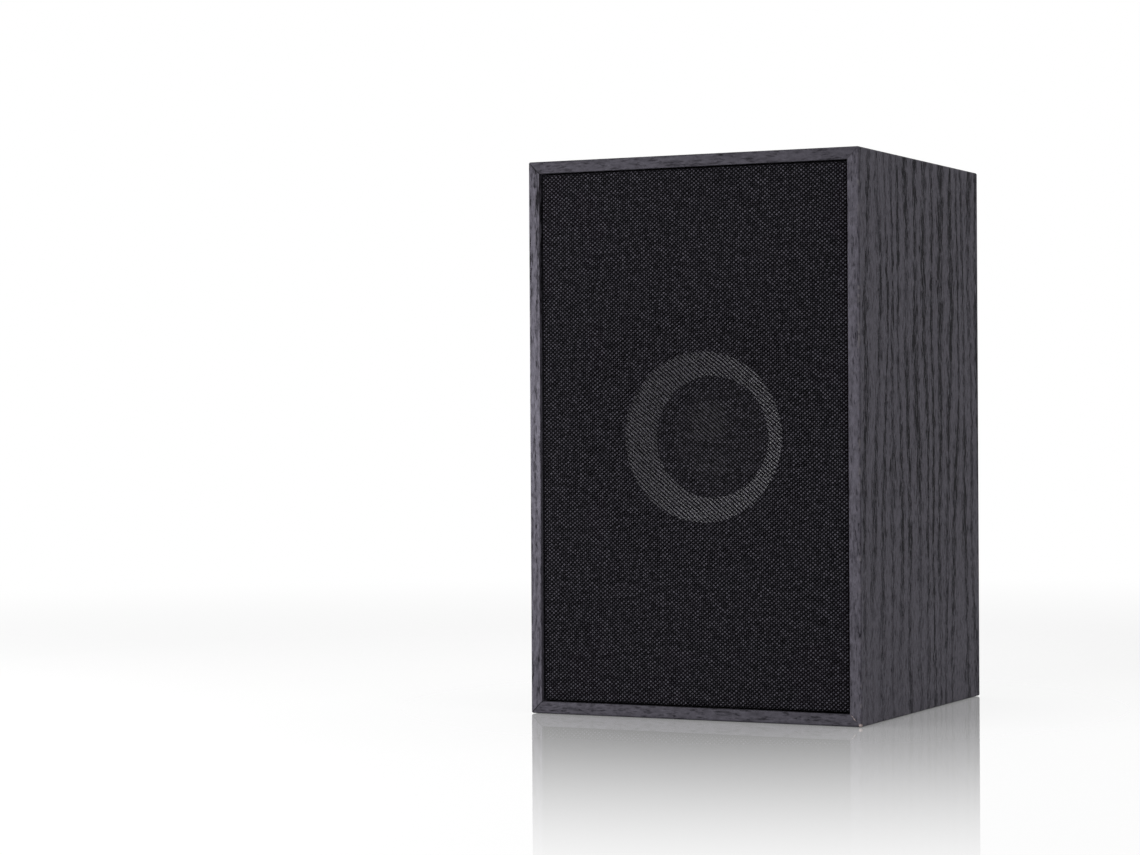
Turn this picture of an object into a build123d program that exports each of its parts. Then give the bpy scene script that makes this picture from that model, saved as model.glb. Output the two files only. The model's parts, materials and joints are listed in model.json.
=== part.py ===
from build123d import *
import math
import os

os.makedirs("parts", exist_ok=True)

# A small bookshelf speaker: mitred cabinet, one drive unit, cloth grille, rear port and terminals.
# Millimetres. +Z is up, the front faces -Y, and the origin is under the middle of the cabinet.

# Cabinet
cabinet_width = 150.0
cabinet_depth = 150.0
cabinet_height = 235.0
cabinet_edge_radius = 0.8
panel_thickness = 9.0
lip_width = 5.0
baffle_thickness = 12.0
back_thickness = 9.0
back_inset = 6.0

# Grille: a holed board in cloth, held by four pegs in rubber sockets
grille_recess = 1.2
grille_side_gap = 0.5
grille_back_gap = 0.3
grille_board_thickness = 6.0
grille_corner_radius = 2.0
grille_edge_radius = 1.5
grille_hole_margin = 0.5
grille_hole_edge_radius = 1.0
cloth_thickness = 0.6
cloth_return_width = 7.0
peg_inset = 15.0
peg_radius = 3.0
peg_length = 8.0
peg_tip_chamfer = 0.8
peg_foot_radius = 6.5
peg_foot_thickness = 0.6
peg_clearance = 0.08
peg_end_gap = 0.5
socket_wall = 2.0
socket_floor = 1.5

# Cone, dust cap and surround
cone_radius = 35.9
cone_rim_width = 3.0
cone_set_back = 2.2
cone_slope = 0.94
cone_thickness = 0.7
cone_travel = 3.0
dust_cap_radius = 25.7
dust_cap_height = 8.0
dust_cap_thickness = 0.6
surround_thickness = 0.5
roll_width = 9.0
roll_height = 3.8
surround_lip_width = 2.5

# Basket and its seat in the baffle
basket_thickness = 1.2
basket_wall_inset = 1.0
flange_margin = 7.0
flange_side_gap = 0.4
cutout_clearance = 0.5
gasket_ring_thickness = 1.3
gasket_ring_inset = 0.4
driver_gasket_thickness = 1.0
window_count = 6
window_angle = 40.0
window_margin = 4.0
driver_screw_count = 4
driver_screw_first_angle = 45.0
driver_screw_margin = 3.3
driver_screw_length = 9.5

# Spider
spider_radius = 37.0
spider_side_gap = 1.0
spider_thickness = 0.5
spider_set_back = 4.0
spider_collar_width = 0.8
spider_wave_height = 1.3
spider_half_waves = 6
spider_floor_gap = 2.0
ledge_width = 6.0
ledge_draft = 1.5

# Motor
pole_radius = 12.2
pole_vent_radius = 4.0
pole_edge_chamfer = 1.0
former_gap = 0.3
former_thickness = 0.25
former_neck_reach = 1.5
former_tail = 2.0
winding_thickness = 0.6
winding_height = 9.0
winding_gap = 0.4
floor_bore_margin = 1.2
top_plate_radius = 33.0
top_plate_thickness = 4.5
magnet_radius = 36.0
magnet_bore_radius = 17.0
magnet_thickness = 12.0
magnet_chamfer = 1.0
yoke_radius = 32.5
yoke_thickness = 5.0

# Tags and leads of the drive unit
tag_spacing = 12.0
tag_width = 4.75
tag_thickness = 0.5
tag_length = 9.0
tag_foot = 6.5
tag_board_width = 22.0
tag_board_reach = 6.0
tag_board_hold = 5.0
tag_board_thickness = 1.5
eyelet_radius = 1.2
eyelet_head = 0.6
eyelet_inset = 2.2
lead_radius = 0.5
lead_start_inset = 3.0
lead_start_run = 6.0
lead_drop = 2.2
lead_gap = 0.4

# Rear port
port_drop = 55.0
port_radius = 16.0
port_wall = 2.0
port_length = 85.0
port_flare_radius = 8.0
port_flange_width = 7.0
port_flange_thickness = 2.5
port_flange_round = 0.8
port_hole_clearance = 0.2

# Terminal cup
terminal_height = 55.0
cup_flange_width = 84.0
cup_flange_height = 64.0
cup_flange_thickness = 2.5
cup_flange_radius = 7.0
cup_mouth_width = 66.0
cup_mouth_height = 46.0
cup_mouth_radius = 6.0
cup_depth = 20.0
cup_draft = 8.0
cup_wall = 2.0
cup_floor_thickness = 3.0
cup_hole_clearance = 0.5
cup_screw_inset = 4.6
cup_screw_length = 10.5
terminal_gasket_thickness = 1.0

# Binding posts
post_spacing = 19.0
post_radius = 3.0
post_hole_clearance = 0.1
post_thread_clearance = 0.08
post_base_radius = 5.5
post_base_thickness = 1.5
post_tail = 2.0
post_cross_hole_radius = 1.0
post_cross_hole_rise = 1.6
plug_bore_radius = 2.0
plug_bore_depth = 16.0
plug_hole_clearance = 0.4
collar_radius = 7.0
collar_height = 3.0
collar_round = 0.6
clamp_washer_radius = 5.5
clamp_washer_thickness = 1.0
knob_radius = 6.2
knob_length = 14.0
knob_end_thickness = 2.0
knob_end_chamfer = 0.8
knob_foot = 1.5
knob_tip_gap = 0.5
flute_count = 16
flute_radius = 0.8
insert_radius = 4.6
insert_length = 9.5
nut_flats = 10.0
nut_thickness = 5.0

# Lugs, connectors and hook-up wires
lug_thickness = 0.8
lug_radius = 5.0
lug_width = 4.0
lug_rise = 8.5
lug_reach = 11.0
barrel_wall = 0.7
crimp_depth = 5.0
crimp_clearance = 0.05
connector_width = 6.8
connector_height = 3.6
connector_length = 15.0
connector_round = 1.0
connector_clearance = 0.1
connector_stand_off = 1.5
wire_radius = 1.0
wire_lead_out = 14.0
wire_lead_in = 14.0

# Screws
screw_radius = 1.75
screw_head_radius = 3.0
screw_head_height = 1.8
screw_dome_edge = 0.7
screw_pilot_clearance = 0.05
screw_pass_clearance = 0.3
screw_cross_width = 0.9
screw_cross_span = 3.4
screw_cross_depth = 1.0

# Damping pad inside the cabinet
pad_thickness = 12.0
pad_wall_gap = 0.3
pad_front_gap = 6.0
pad_back_gap = 5.0
pad_leg_length = 120.0
pad_round = 8.0

# Drawing aids: how far a cut runs past a face, and how much of a run a tangent arc takes up
overcut = 1.0
arc_share = 0.45

# Depths, all measured back from the front plane of the cabinet
board_front = grille_recess + cloth_thickness
board_back = board_front + grille_board_thickness
cloth_back = board_back + cloth_thickness
baffle_front = cloth_back + grille_back_gap
baffle_back = baffle_front + baffle_thickness
surround_front = baffle_front + gasket_ring_thickness
flange_front = surround_front + surround_thickness
flange_back = flange_front + basket_thickness
flange_seat = flange_back + driver_gasket_thickness
cone_rim_depth = flange_front + cone_set_back
back_outer = cabinet_depth - back_inset
back_inner = back_outer - back_thickness

# Radii of the drive unit, from the cone outwards
cone_rim_radius = cone_radius + cone_rim_width
roll_outer_radius = cone_rim_radius + roll_width
surround_radius = roll_outer_radius + surround_lip_width
flange_radius = surround_radius + flange_margin
basket_wall_radius = roll_outer_radius - basket_wall_inset
driver_cutout_radius = basket_wall_radius + basket_thickness + cutout_clearance
screw_circle_radius = flange_radius - driver_screw_margin
grille_hole_radius = roll_outer_radius + grille_hole_margin
ledge_radius = spider_radius + spider_side_gap
ledge_inner_radius = spider_radius - ledge_width
former_inner_radius = pole_radius + former_gap
former_outer_radius = former_inner_radius + former_thickness
winding_radius = former_outer_radius + winding_thickness
gap_radius = winding_radius + winding_gap

# Depths of the drive unit behind its cone
neck_depth = cone_rim_depth + (cone_radius - former_outer_radius) * cone_slope
spider_depth = neck_depth + spider_set_back
ledge_front = spider_depth + spider_thickness
ledge_back = ledge_front + basket_thickness
floor_front = ledge_front + spider_wave_height + cone_travel + spider_floor_gap
top_plate_front = floor_front + basket_thickness
magnet_front = top_plate_front + top_plate_thickness
yoke_front = magnet_front + magnet_thickness
yoke_back = yoke_front + yoke_thickness
gap_middle = top_plate_front + top_plate_thickness / 2
winding_front = gap_middle - winding_height / 2
winding_back = gap_middle + winding_height / 2
tag_board_back = ledge_back + tag_board_thickness
tag_back = tag_board_back + tag_length
connector_front = tag_board_back + tag_thickness + connector_stand_off
connector_back = connector_front + connector_length

# Depths at the rear
port_mouth = back_outer + port_flange_thickness
port_end = port_mouth - port_length
port_boss_radius = port_radius + port_wall + port_flare_radius / 2
port_flange_radius = port_radius + port_flare_radius + port_flange_width
cup_flange_back = back_outer + terminal_gasket_thickness
cup_mouth = cup_flange_back + cup_flange_thickness
cup_floor_outer = cup_mouth - cup_depth
cup_floor_inner = cup_floor_outer - cup_floor_thickness
collar_outer = cup_floor_outer + collar_height
post_base_outer = collar_outer + post_base_thickness
washer_outer = post_base_outer + clamp_washer_thickness
knob_end = washer_outer + knob_length
post_tip = knob_end - knob_end_thickness - knob_tip_gap
lug_front = cup_floor_inner - lug_thickness
nut_front = lug_front - nut_thickness
post_end = nut_front - post_tail
barrel_front = lug_front - lug_reach

# Heights and places
driver_height = cabinet_height / 2
port_height = cabinet_height - port_drop
inner_width = cabinet_width - 2 * panel_thickness
inner_height = cabinet_height - 2 * panel_thickness
opening_width = cabinet_width - 2 * lip_width
opening_height = cabinet_height - 2 * lip_width
grille_width = opening_width - 2 * grille_side_gap
grille_height = opening_height - 2 * grille_side_gap
board_width = grille_width - 2 * cloth_thickness
board_height = grille_height - 2 * cloth_thickness
tag_board_radius = ledge_radius + basket_thickness + tag_board_reach
tag_leg_height = driver_height - (tag_board_radius - tag_thickness / 2)
eyelet_height = driver_height - (tag_board_radius - eyelet_inset - eyelet_radius)
barrel_height = terminal_height + lug_rise
post_places = {"red": -post_spacing / 2, "black": post_spacing / 2}
tag_places = {"red": -tag_spacing / 2, "black": tag_spacing / 2}


def facing(depth, x=0.0, z=0.0):
    """A plane across the cabinet, facing the front, at a depth behind it."""
    origin = (x, depth - cabinet_depth / 2, z)
    return Plane(origin=origin, x_dir=(1, 0, 0), z_dir=(0, -1, 0))


def slab(outline, start, end, x=0.0, z=0.0):
    """An outline drawn from the front, made solid between two depths."""
    return extrude(facing(end, x, z) * outline, amount=end - start, dir=(0, -1, 0))


def turned(*lines, x=0.0, z=0.0):
    """A closed profile of (radius, depth) lines, turned about an axis that runs front to back."""
    edges = [edge for line in lines for edge in line.edges()]
    return Pos(x, -cabinet_depth / 2, z) * revolve(make_face(edges), axis=Axis.Y)


def tube(inner, outer, start, end, x=0.0, z=0.0):
    """A round tube between two depths."""
    return slab(Circle(outer) - Circle(inner), start, end, x, z)


def sheet(points, thickness):
    """The outline of bent sheet: a front line from rim to centre and its parallel behind."""
    normals = []
    for (r1, d1), (r2, d2) in zip(points, points[1:]):
        run = math.hypot(r2 - r1, d2 - d1)
        normals.append(((d2 - d1) / run, (r1 - r2) / run))
    before = [normals[0]] + normals
    after = normals + [normals[-1]]
    behind = []
    for (r, d), a, b in zip(points, before, after):
        share = thickness / (1 + a[0] * b[0] + a[1] * b[1])
        behind.append((r + share * (a[0] + b[0]), d + share * (a[1] + b[1])))
    return Polyline(*points, *reversed(behind), close=True)


def corners(dx, dz):
    """Four places at the corners of a rectangle."""
    return [(sx * dx, sz * dz) for sx in (-1, 1) for sz in (-1, 1)]


def on_circle(radius, count, first_angle):
    """Places spaced evenly round a circle."""
    places = []
    for index in range(count):
        angle = math.radians(first_angle + index * 360 / count)
        places.append((radius * math.cos(angle), radius * math.sin(angle)))
    return places


def together(solids):
    """Separate solids in one group."""
    return Compound(children=[solid for part in solids for solid in part.solids()])


def rounded_path(points):
    """Straight runs joined by the largest tangent arcs that the runs allow."""
    stations = [Vector(*point) for point in points]
    radii = []
    for a, b, c in zip(stations, stations[1:], stations[2:]):
        turn = math.radians((b - a).get_angle(c - b))
        shorter = min((b - a).length, (c - b).length)
        radii.append(arc_share * shorter / math.tan(turn / 2))
    return FilletPolyline(*stations, radius=radii)


def cord(points, radius):
    """A round cord along a rounded path."""
    path = rounded_path(points)
    section = Plane(origin=path @ 0, z_dir=path % 0) * Circle(radius)
    return sweep(section, path=path)


def dome_arc(radius, edge, apex):
    """The arc of a spherical cap, from its edge to its apex on the axis."""
    rise = edge - apex
    sphere = (radius ** 2 + rise ** 2) / (2 * abs(rise))
    half = math.asin(radius / sphere) / 2
    middle = apex + math.copysign(sphere * (1 - math.cos(half)), rise)
    return ThreePointArc((radius, edge), (sphere * math.sin(half), middle), (0, apex))


def cone_depth(radius):
    """Depth of the cone's front face at a radius."""
    return cone_rim_depth + (cone_radius - radius) * cone_slope


# Cabinet panels
def cabinet_shell():
    middle = (Align.CENTER, Align.CENTER, Align.MIN)
    block = Box(cabinet_width, cabinet_depth, cabinet_height, align=middle)
    block = fillet(block.edges(), cabinet_edge_radius)
    z = cabinet_height / 2
    rear = cabinet_depth + overcut
    block -= slab(Rectangle(inner_width, inner_height), -overcut, rear, z=z)
    block -= slab(Rectangle(opening_width, opening_height), -overcut, baffle_back, z=z)
    block -= slab(Rectangle(opening_width, opening_height), back_inner, rear, z=z)
    return block


def mitre_outline(width, height, side):
    """A strip along the upper or lower edge of a rectangle, with 45 degree ends."""
    outside = side * (height / 2 + overcut)
    inside = side * (height / 2 - panel_thickness - overcut)
    wide = width / 2 + overcut
    narrow = width / 2 - panel_thickness - overcut
    return Polygon((-wide, outside), (wide, outside), (narrow, inside), (-narrow, inside), align=None)


def mitred_panels():
    """The shell, cut at its corners into four panels."""
    shell = cabinet_shell()
    across = {
        "top_panel": mitre_outline(cabinet_width, cabinet_height, 1),
        "bottom_panel": mitre_outline(cabinet_width, cabinet_height, -1),
        "left_panel": Rot(0, 0, 90) * mitre_outline(cabinet_height, cabinet_width, 1),
        "right_panel": Rot(0, 0, 90) * mitre_outline(cabinet_height, cabinet_width, -1),
    }
    panels = {}
    for name, outline in across.items():
        panels[name] = shell & slab(outline, -overcut, cabinet_depth + overcut, z=cabinet_height / 2)
    return panels


def peg_places():
    return corners(board_width / 2 - peg_inset, board_height / 2 - peg_inset)


def driver_screw_places():
    return on_circle(screw_circle_radius, driver_screw_count, driver_screw_first_angle)


def socket_radius():
    return peg_radius + peg_clearance + socket_wall


def socket_back():
    return board_back + peg_length + peg_end_gap + socket_floor


def baffle():
    z = driver_height
    board = slab(Rectangle(opening_width, opening_height), baffle_front, baffle_back, z=z)
    board -= slab(Circle(flange_radius + flange_side_gap), baffle_front, flange_seat, z=z)
    board -= slab(Circle(driver_cutout_radius), flange_seat, baffle_back, z=z)
    for x, dz in driver_screw_places():
        board -= slab(Circle(screw_radius + screw_pilot_clearance), flange_seat, baffle_back, x, z + dz)
    for x, dz in peg_places():
        board -= slab(Circle(socket_radius()), baffle_front, socket_back(), x, z + dz)
    return board


def cup_screw_places():
    return corners(cup_flange_width / 2 - cup_screw_inset, cup_flange_height / 2 - cup_screw_inset)


def cup_cutout():
    """The hole for the terminal cup, in the back panel and in the gasket on it."""
    margin = cup_wall + cup_hole_clearance
    width = cup_mouth_width + 2 * margin
    height = cup_mouth_height + 2 * margin
    return RectangleRounded(width, height, cup_mouth_radius + margin)


def back_panel():
    panel = slab(Rectangle(opening_width, opening_height), back_inner, back_outer, z=cabinet_height / 2)
    panel -= slab(Circle(port_boss_radius + port_hole_clearance), back_inner, back_outer, z=port_height)
    panel -= slab(cup_cutout(), back_inner, back_outer, z=terminal_height)
    pilot = Circle(screw_radius + screw_pilot_clearance)
    for x, dz in cup_screw_places():
        panel -= slab(pilot, back_inner, back_outer, x, terminal_height + dz)
    return panel


def damping_pad():
    """A folded pad that lines the top and both sides of the cabinet behind the drive unit."""
    width = inner_width - 2 * pad_wall_gap
    outline = RectangleRounded(width, 2 * pad_leg_length, pad_round)
    hollow = RectangleRounded(width - 2 * pad_thickness, 2 * (pad_leg_length - pad_thickness), pad_round)
    below = Pos(0, -pad_leg_length) * Rectangle(2 * width, 2 * pad_leg_length)
    top = cabinet_height - panel_thickness - pad_wall_gap
    lining = outline - hollow - below
    return slab(lining, yoke_back + pad_front_gap, back_inner - pad_back_gap, z=top - pad_leg_length)


# Grille
def front_edges(solid):
    return solid.edges().group_by(Axis.Y)[0]


def round_edges(edges, radius):
    """The full circles of one radius among some edges."""
    circles = edges.filter_by(GeomType.CIRCLE)
    return [edge for edge in circles if math.isclose(edge.radius, radius, abs_tol=0.001)]


def grille_block(margin, start, end):
    """The board's outline, grown by a margin, with its front edge rounded."""
    outline = RectangleRounded(
        board_width + 2 * margin, board_height + 2 * margin, grille_corner_radius + margin,
    )
    block = slab(outline, start, end, z=driver_height)
    return fillet(front_edges(block), grille_edge_radius + margin)


def grille_frame():
    board = grille_block(0.0, board_front, board_back)
    board -= slab(Circle(grille_hole_radius), board_front, board_back, z=driver_height)
    return fillet(round_edges(front_edges(board), grille_hole_radius), grille_hole_edge_radius)


def grille_cloth():
    cloth = grille_block(cloth_thickness, grille_recess, cloth_back)
    cloth -= grille_block(0.0, board_front, board_back)
    window = Rectangle(board_width - 2 * cloth_return_width, board_height - 2 * cloth_return_width)
    return cloth - slab(window, board_back, cloth_back, z=driver_height)


def grille_pegs():
    tip = board_back + peg_length
    neck = peg_radius - peg_tip_chamfer
    foot = board_back + peg_foot_thickness
    profile = Polyline(
        (0, board_back), (peg_foot_radius, board_back), (peg_foot_radius, foot), (peg_radius, foot),
        (peg_radius, tip - peg_tip_chamfer), (neck, tip), (0, tip), close=True,
    )
    return together([turned(profile, x=x, z=driver_height + dz) for x, dz in peg_places()])


def grille_sockets():
    bore = peg_radius + peg_clearance
    bore_end = socket_back() - socket_floor
    profile = Polyline(
        (bore, baffle_front), (socket_radius(), baffle_front), (socket_radius(), socket_back()),
        (0, socket_back()), (0, bore_end), (bore, bore_end), close=True,
    )
    return together([turned(profile, x=x, z=driver_height + dz) for x, dz in peg_places()])


# Screws
def screw(head_seat, length, outward, x, z):
    """A domed screw with a cross recess. outward is -1 where it goes in from the front, 1 from the rear."""
    crown = head_seat + outward * screw_head_height
    edge = head_seat + outward * screw_dome_edge
    tip = head_seat - outward * length
    dome = dome_arc(screw_head_radius, edge, crown)
    profile = Polyline((0, crown), (0, tip), (screw_radius, tip), (screw_radius, head_seat))
    seat = Polyline((screw_radius, head_seat), (screw_head_radius, head_seat), (screw_head_radius, edge))
    body = turned(profile, seat, dome, x=x, z=z)
    near, far = sorted((crown, crown - outward * screw_cross_depth))
    cross = Rectangle(screw_cross_width, screw_cross_span) + Rectangle(screw_cross_span, screw_cross_width)
    return body - slab(cross, near, far, x, z)


# Drive unit
def basket():
    line = [
        (flange_radius, flange_front), (basket_wall_radius, flange_front), (ledge_radius, ledge_front),
        (ledge_inner_radius, ledge_front), (ledge_inner_radius - ledge_draft, floor_front),
        (gap_radius + floor_bore_margin, floor_front),
    ]
    frame = turned(sheet(line, basket_thickness), z=driver_height)
    top = flange_back + window_margin
    bottom = ledge_front - window_margin
    opening = Polyline(
        (ledge_inner_radius, top), (flange_radius, top),
        (flange_radius, bottom), (ledge_inner_radius, bottom), close=True,
    )
    sector = revolve(make_face(opening.edges()), axis=Axis.Y, revolution_arc=window_angle)
    for index in range(window_count):
        turn = 90 - window_angle / 2 + index * 360 / window_count
        frame -= Pos(0, -cabinet_depth / 2, driver_height) * Rot(0, turn, 0) * sector
    hole = Circle(screw_radius + screw_pass_clearance)
    for x, dz in driver_screw_places():
        frame -= slab(hole, flange_front, flange_back, x, driver_height + dz)
    return frame


def driver_gasket():
    ring = tube(driver_cutout_radius, flange_radius, flange_back, flange_seat, z=driver_height)
    hole = Circle(screw_radius + screw_pass_clearance)
    for x, dz in driver_screw_places():
        ring -= slab(hole, flange_back, flange_seat, x, driver_height + dz)
    return ring


def gasket_ring():
    return tube(
        roll_outer_radius + gasket_ring_inset, surround_radius, baffle_front, surround_front, z=driver_height,
    )


def surround():
    """A rubber half roll with a flat lip on the flange and another on the cone's rim."""
    crest_radius = (roll_outer_radius + cone_rim_radius) / 2
    crest = surround_front - roll_height
    inner_lip = cone_rim_depth - surround_thickness
    outer_lip_front = Line((surround_radius, surround_front), (roll_outer_radius, surround_front))
    roll_front = ThreePointArc(
        (roll_outer_radius, surround_front), (crest_radius, crest), (cone_rim_radius, inner_lip),
    )
    inner_edge = Polyline(
        (cone_rim_radius, inner_lip), (cone_radius, inner_lip), (cone_radius, cone_rim_depth),
        (cone_rim_radius + surround_thickness, cone_rim_depth),
    )
    roll_back = ThreePointArc(
        (cone_rim_radius + surround_thickness, cone_rim_depth), (crest_radius, crest + surround_thickness),
        (roll_outer_radius - surround_thickness, flange_front),
    )
    outer_edge = Polyline(
        (roll_outer_radius - surround_thickness, flange_front), (surround_radius, flange_front),
        (surround_radius, surround_front),
    )
    return turned(outer_lip_front, roll_front, inner_edge, roll_back, outer_edge, z=driver_height)


def cone():
    line = [
        (cone_rim_radius, cone_rim_depth), (cone_radius, cone_rim_depth), (former_outer_radius, neck_depth),
    ]
    body = turned(sheet(line, cone_thickness), z=driver_height)
    neck_end = neck_depth + 2 * cone_thickness
    return body - slab(Circle(former_outer_radius), neck_depth - former_neck_reach, neck_end, z=driver_height)


def dust_cap():
    """A spherical cap whose edge stands on the cone."""
    edge = cone_depth(dust_cap_radius)
    apex = edge - dust_cap_height
    sphere = (dust_cap_radius ** 2 + dust_cap_height ** 2) / (2 * dust_cap_height)
    edge_inner = math.sqrt((sphere - dust_cap_thickness) ** 2 - (sphere - dust_cap_height) ** 2)
    outer_arc = dome_arc(dust_cap_radius, edge, apex)
    inner_arc = dome_arc(edge_inner, edge, apex + dust_cap_thickness)
    axis_line = Line((0, apex), (0, apex + dust_cap_thickness))
    rim = Line((edge_inner, edge), (dust_cap_radius, edge))
    return turned(outer_arc, axis_line, inner_arc, rim, z=driver_height)


def voice_coil_former():
    return tube(
        former_inner_radius, former_outer_radius, neck_depth - former_neck_reach, winding_back + former_tail,
        z=driver_height,
    )


def voice_coil():
    return tube(former_outer_radius, winding_radius, winding_front, winding_back, z=driver_height)


def spider():
    """A corrugated cloth disc from the coil former to the basket's ledge."""
    first = former_outer_radius + spider_collar_width
    step = (ledge_inner_radius - first) / spider_half_waves
    lines = []
    for shift in (0.0, spider_thickness):
        level = spider_depth + shift
        lines.append(Line((former_outer_radius, level), (first, level)))
        for index in range(spider_half_waves):
            start = first + index * step
            bow = spider_wave_height if index % 2 == 0 else -spider_wave_height
            arc = ThreePointArc((start, level), (start + step / 2, level + bow), (start + step, level))
            lines.append(arc)
        lines.append(Line((ledge_inner_radius, level), (spider_radius, level)))
    for radius in (former_outer_radius, spider_radius):
        lines.append(Line((radius, spider_depth), (radius, spider_depth + spider_thickness)))
    return turned(*lines, z=driver_height)


def top_plate():
    return tube(gap_radius, top_plate_radius, top_plate_front, magnet_front, z=driver_height)


def magnet():
    ring = tube(magnet_bore_radius, magnet_radius, magnet_front, yoke_front, z=driver_height)
    return chamfer(round_edges(ring.edges(), magnet_radius), magnet_chamfer)


def yoke():
    edge = pole_edge_chamfer
    profile = Polyline(
        (pole_vent_radius, top_plate_front), (pole_radius, top_plate_front), (pole_radius, yoke_front),
        (yoke_radius, yoke_front), (yoke_radius, yoke_back - edge), (yoke_radius - edge, yoke_back),
        (pole_vent_radius + edge, yoke_back), (pole_vent_radius, yoke_back - edge), close=True,
    )
    return turned(profile, z=driver_height)


def tag_board():
    inner = ledge_radius - tag_board_hold
    height = tag_board_radius - inner
    middle = driver_height - (inner + tag_board_radius) / 2
    board = slab(Rectangle(tag_board_width, height), ledge_back, tag_board_back, z=middle)
    for x in tag_places.values():
        board -= slab(Circle(eyelet_radius), ledge_back, tag_board_back, x, eyelet_height)
    return board


def driver_tags():
    tags = []
    foot_middle = driver_height - (tag_board_radius - tag_foot / 2)
    foot_back = tag_board_back + tag_thickness
    for x in tag_places.values():
        tag = slab(Rectangle(tag_width, tag_foot), tag_board_back, foot_back, x, foot_middle)
        tag += slab(Rectangle(tag_width, tag_thickness), tag_board_back, tag_back, x, tag_leg_height)
        tag += slab(Circle(eyelet_radius), ledge_back - eyelet_head, tag_board_back, x, eyelet_height)
        tags.append(tag)
    return together(tags)


def tinsel_leads():
    """Two limp leads from behind the cone, out through a window of the basket, to the eyelets."""
    start_radius = dust_cap_radius - lead_start_inset
    slope_length = math.hypot(1, cone_slope)
    out, back = cone_slope / slope_length, 1 / slope_length
    depth = cone_depth(start_radius) + cone_thickness * slope_length
    leads = []
    for x in tag_places.values():
        height = math.sqrt(start_radius ** 2 - x ** 2)
        first = (height + out * lead_gap, depth + back * lead_gap)
        second = (first[0] + out * lead_start_run, first[1] + back * lead_start_run)
        third = (driver_height - eyelet_height, second[1] + lead_drop)
        last = (driver_height - eyelet_height, ledge_back - eyelet_head)
        route = [(x, d - cabinet_depth / 2, driver_height - drop) for drop, d in (first, second, third, last)]
        leads.append(cord(route, lead_radius))
    return together(leads)


def wire_connectors():
    """Push-on sleeves on the two tags, with a bore for the wire behind."""
    sleeves = []
    slot = Rectangle(tag_width + 2 * connector_clearance, tag_thickness + 2 * connector_clearance)
    for x in tag_places.values():
        outline = RectangleRounded(connector_width, connector_height, connector_round)
        sleeve = slab(outline, connector_front, connector_back, x, tag_leg_height)
        sleeve -= slab(slot, connector_front, tag_back + connector_clearance, x, tag_leg_height)
        bore = Circle(wire_radius + crimp_clearance)
        sleeve -= slab(bore, connector_back - crimp_depth, connector_back, x, tag_leg_height)
        sleeves.append(sleeve)
    return together(sleeves)


def hookup_wire(colour):
    """An insulated wire from a push-on connector to the lug of its binding post."""
    start_x, end_x = tag_places[colour], post_places[colour]
    start = connector_back - crimp_depth
    end = barrel_front + crimp_depth
    leave = connector_back + wire_lead_out
    arrive = barrel_front - wire_lead_in
    route = [
        (start_x, start, tag_leg_height),
        (start_x, leave, tag_leg_height),
        (end_x, arrive, barrel_height),
        (end_x, end, barrel_height),
    ]
    return cord([(x, d - cabinet_depth / 2, z) for x, d, z in route], wire_radius)


# Rear port
def port_tube():
    flare_end = port_mouth - port_flare_radius
    flare_rim = port_radius + port_flare_radius
    swing = port_flare_radius * math.sqrt(0.5)
    flare = ThreePointArc(
        (flare_rim, port_mouth), (flare_rim - swing, flare_end + swing), (port_radius, flare_end),
    )
    body = Polyline(
        (port_radius, flare_end), (port_radius, port_end), (port_radius + port_wall, port_end),
        (port_radius + port_wall, back_inner), (port_boss_radius, back_inner), (port_boss_radius, back_outer),
        (port_flange_radius, back_outer), (port_flange_radius, port_mouth - port_flange_round),
        (port_flange_radius - port_flange_round, port_mouth), (flare_rim, port_mouth),
    )
    return turned(flare, body, z=port_height)


# Terminal cup and binding posts
def terminal_cup():
    z = terminal_height
    flange = RectangleRounded(cup_flange_width, cup_flange_height, cup_flange_radius)
    cup = slab(flange, cup_flange_back, cup_mouth, z=z)
    outside = RectangleRounded(
        cup_mouth_width + 2 * cup_wall, cup_mouth_height + 2 * cup_wall, cup_mouth_radius + cup_wall,
    )
    mouth = RectangleRounded(cup_mouth_width, cup_mouth_height, cup_mouth_radius)
    cup += extrude(facing(cup_mouth, 0, z) * outside, amount=cup_depth + cup_floor_thickness, taper=cup_draft)
    cup -= extrude(facing(cup_mouth, 0, z) * mouth, amount=cup_depth, taper=cup_draft)
    for x in post_places.values():
        cup -= slab(Circle(post_radius + post_hole_clearance), cup_floor_inner, cup_floor_outer, x, z)
    hole = Circle(screw_radius + screw_pass_clearance)
    for x, dz in cup_screw_places():
        cup -= slab(hole, cup_flange_back, cup_mouth, x, z + dz)
    return cup


def terminal_gasket():
    flange = RectangleRounded(cup_flange_width, cup_flange_height, cup_flange_radius)
    sheet_outline = flange - cup_cutout()
    for x, dz in cup_screw_places():
        sheet_outline -= Pos(x, dz) * Circle(screw_radius + screw_pass_clearance)
    return slab(sheet_outline, back_outer, cup_flange_back, z=terminal_height)


def post_stud(x):
    """The threaded stud: a bore for a plug at its tip, a cross hole for bare wire above its base."""
    bore_end = post_tip - plug_bore_depth
    profile = Polyline(
        (0, post_end), (post_radius, post_end), (post_radius, collar_outer), (post_base_radius, collar_outer),
        (post_base_radius, post_base_outer), (post_radius, post_base_outer), (post_radius, post_tip),
        (plug_bore_radius, post_tip), (plug_bore_radius, bore_end), (0, bore_end), close=True,
    )
    stud = turned(profile, x=x, z=terminal_height)
    hole = Cylinder(post_cross_hole_radius, 4 * post_radius)
    return stud - Pos(x, post_base_outer + post_cross_hole_rise - cabinet_depth / 2, terminal_height) * hole


def post_collar(x):
    bore = post_radius + post_hole_clearance
    profile = Polyline(
        (bore, cup_floor_outer), (collar_radius, cup_floor_outer),
        (collar_radius, collar_outer - collar_round), (collar_radius - collar_round, collar_outer),
        (bore, collar_outer), close=True,
    )
    return turned(profile, x=x, z=terminal_height)


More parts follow.
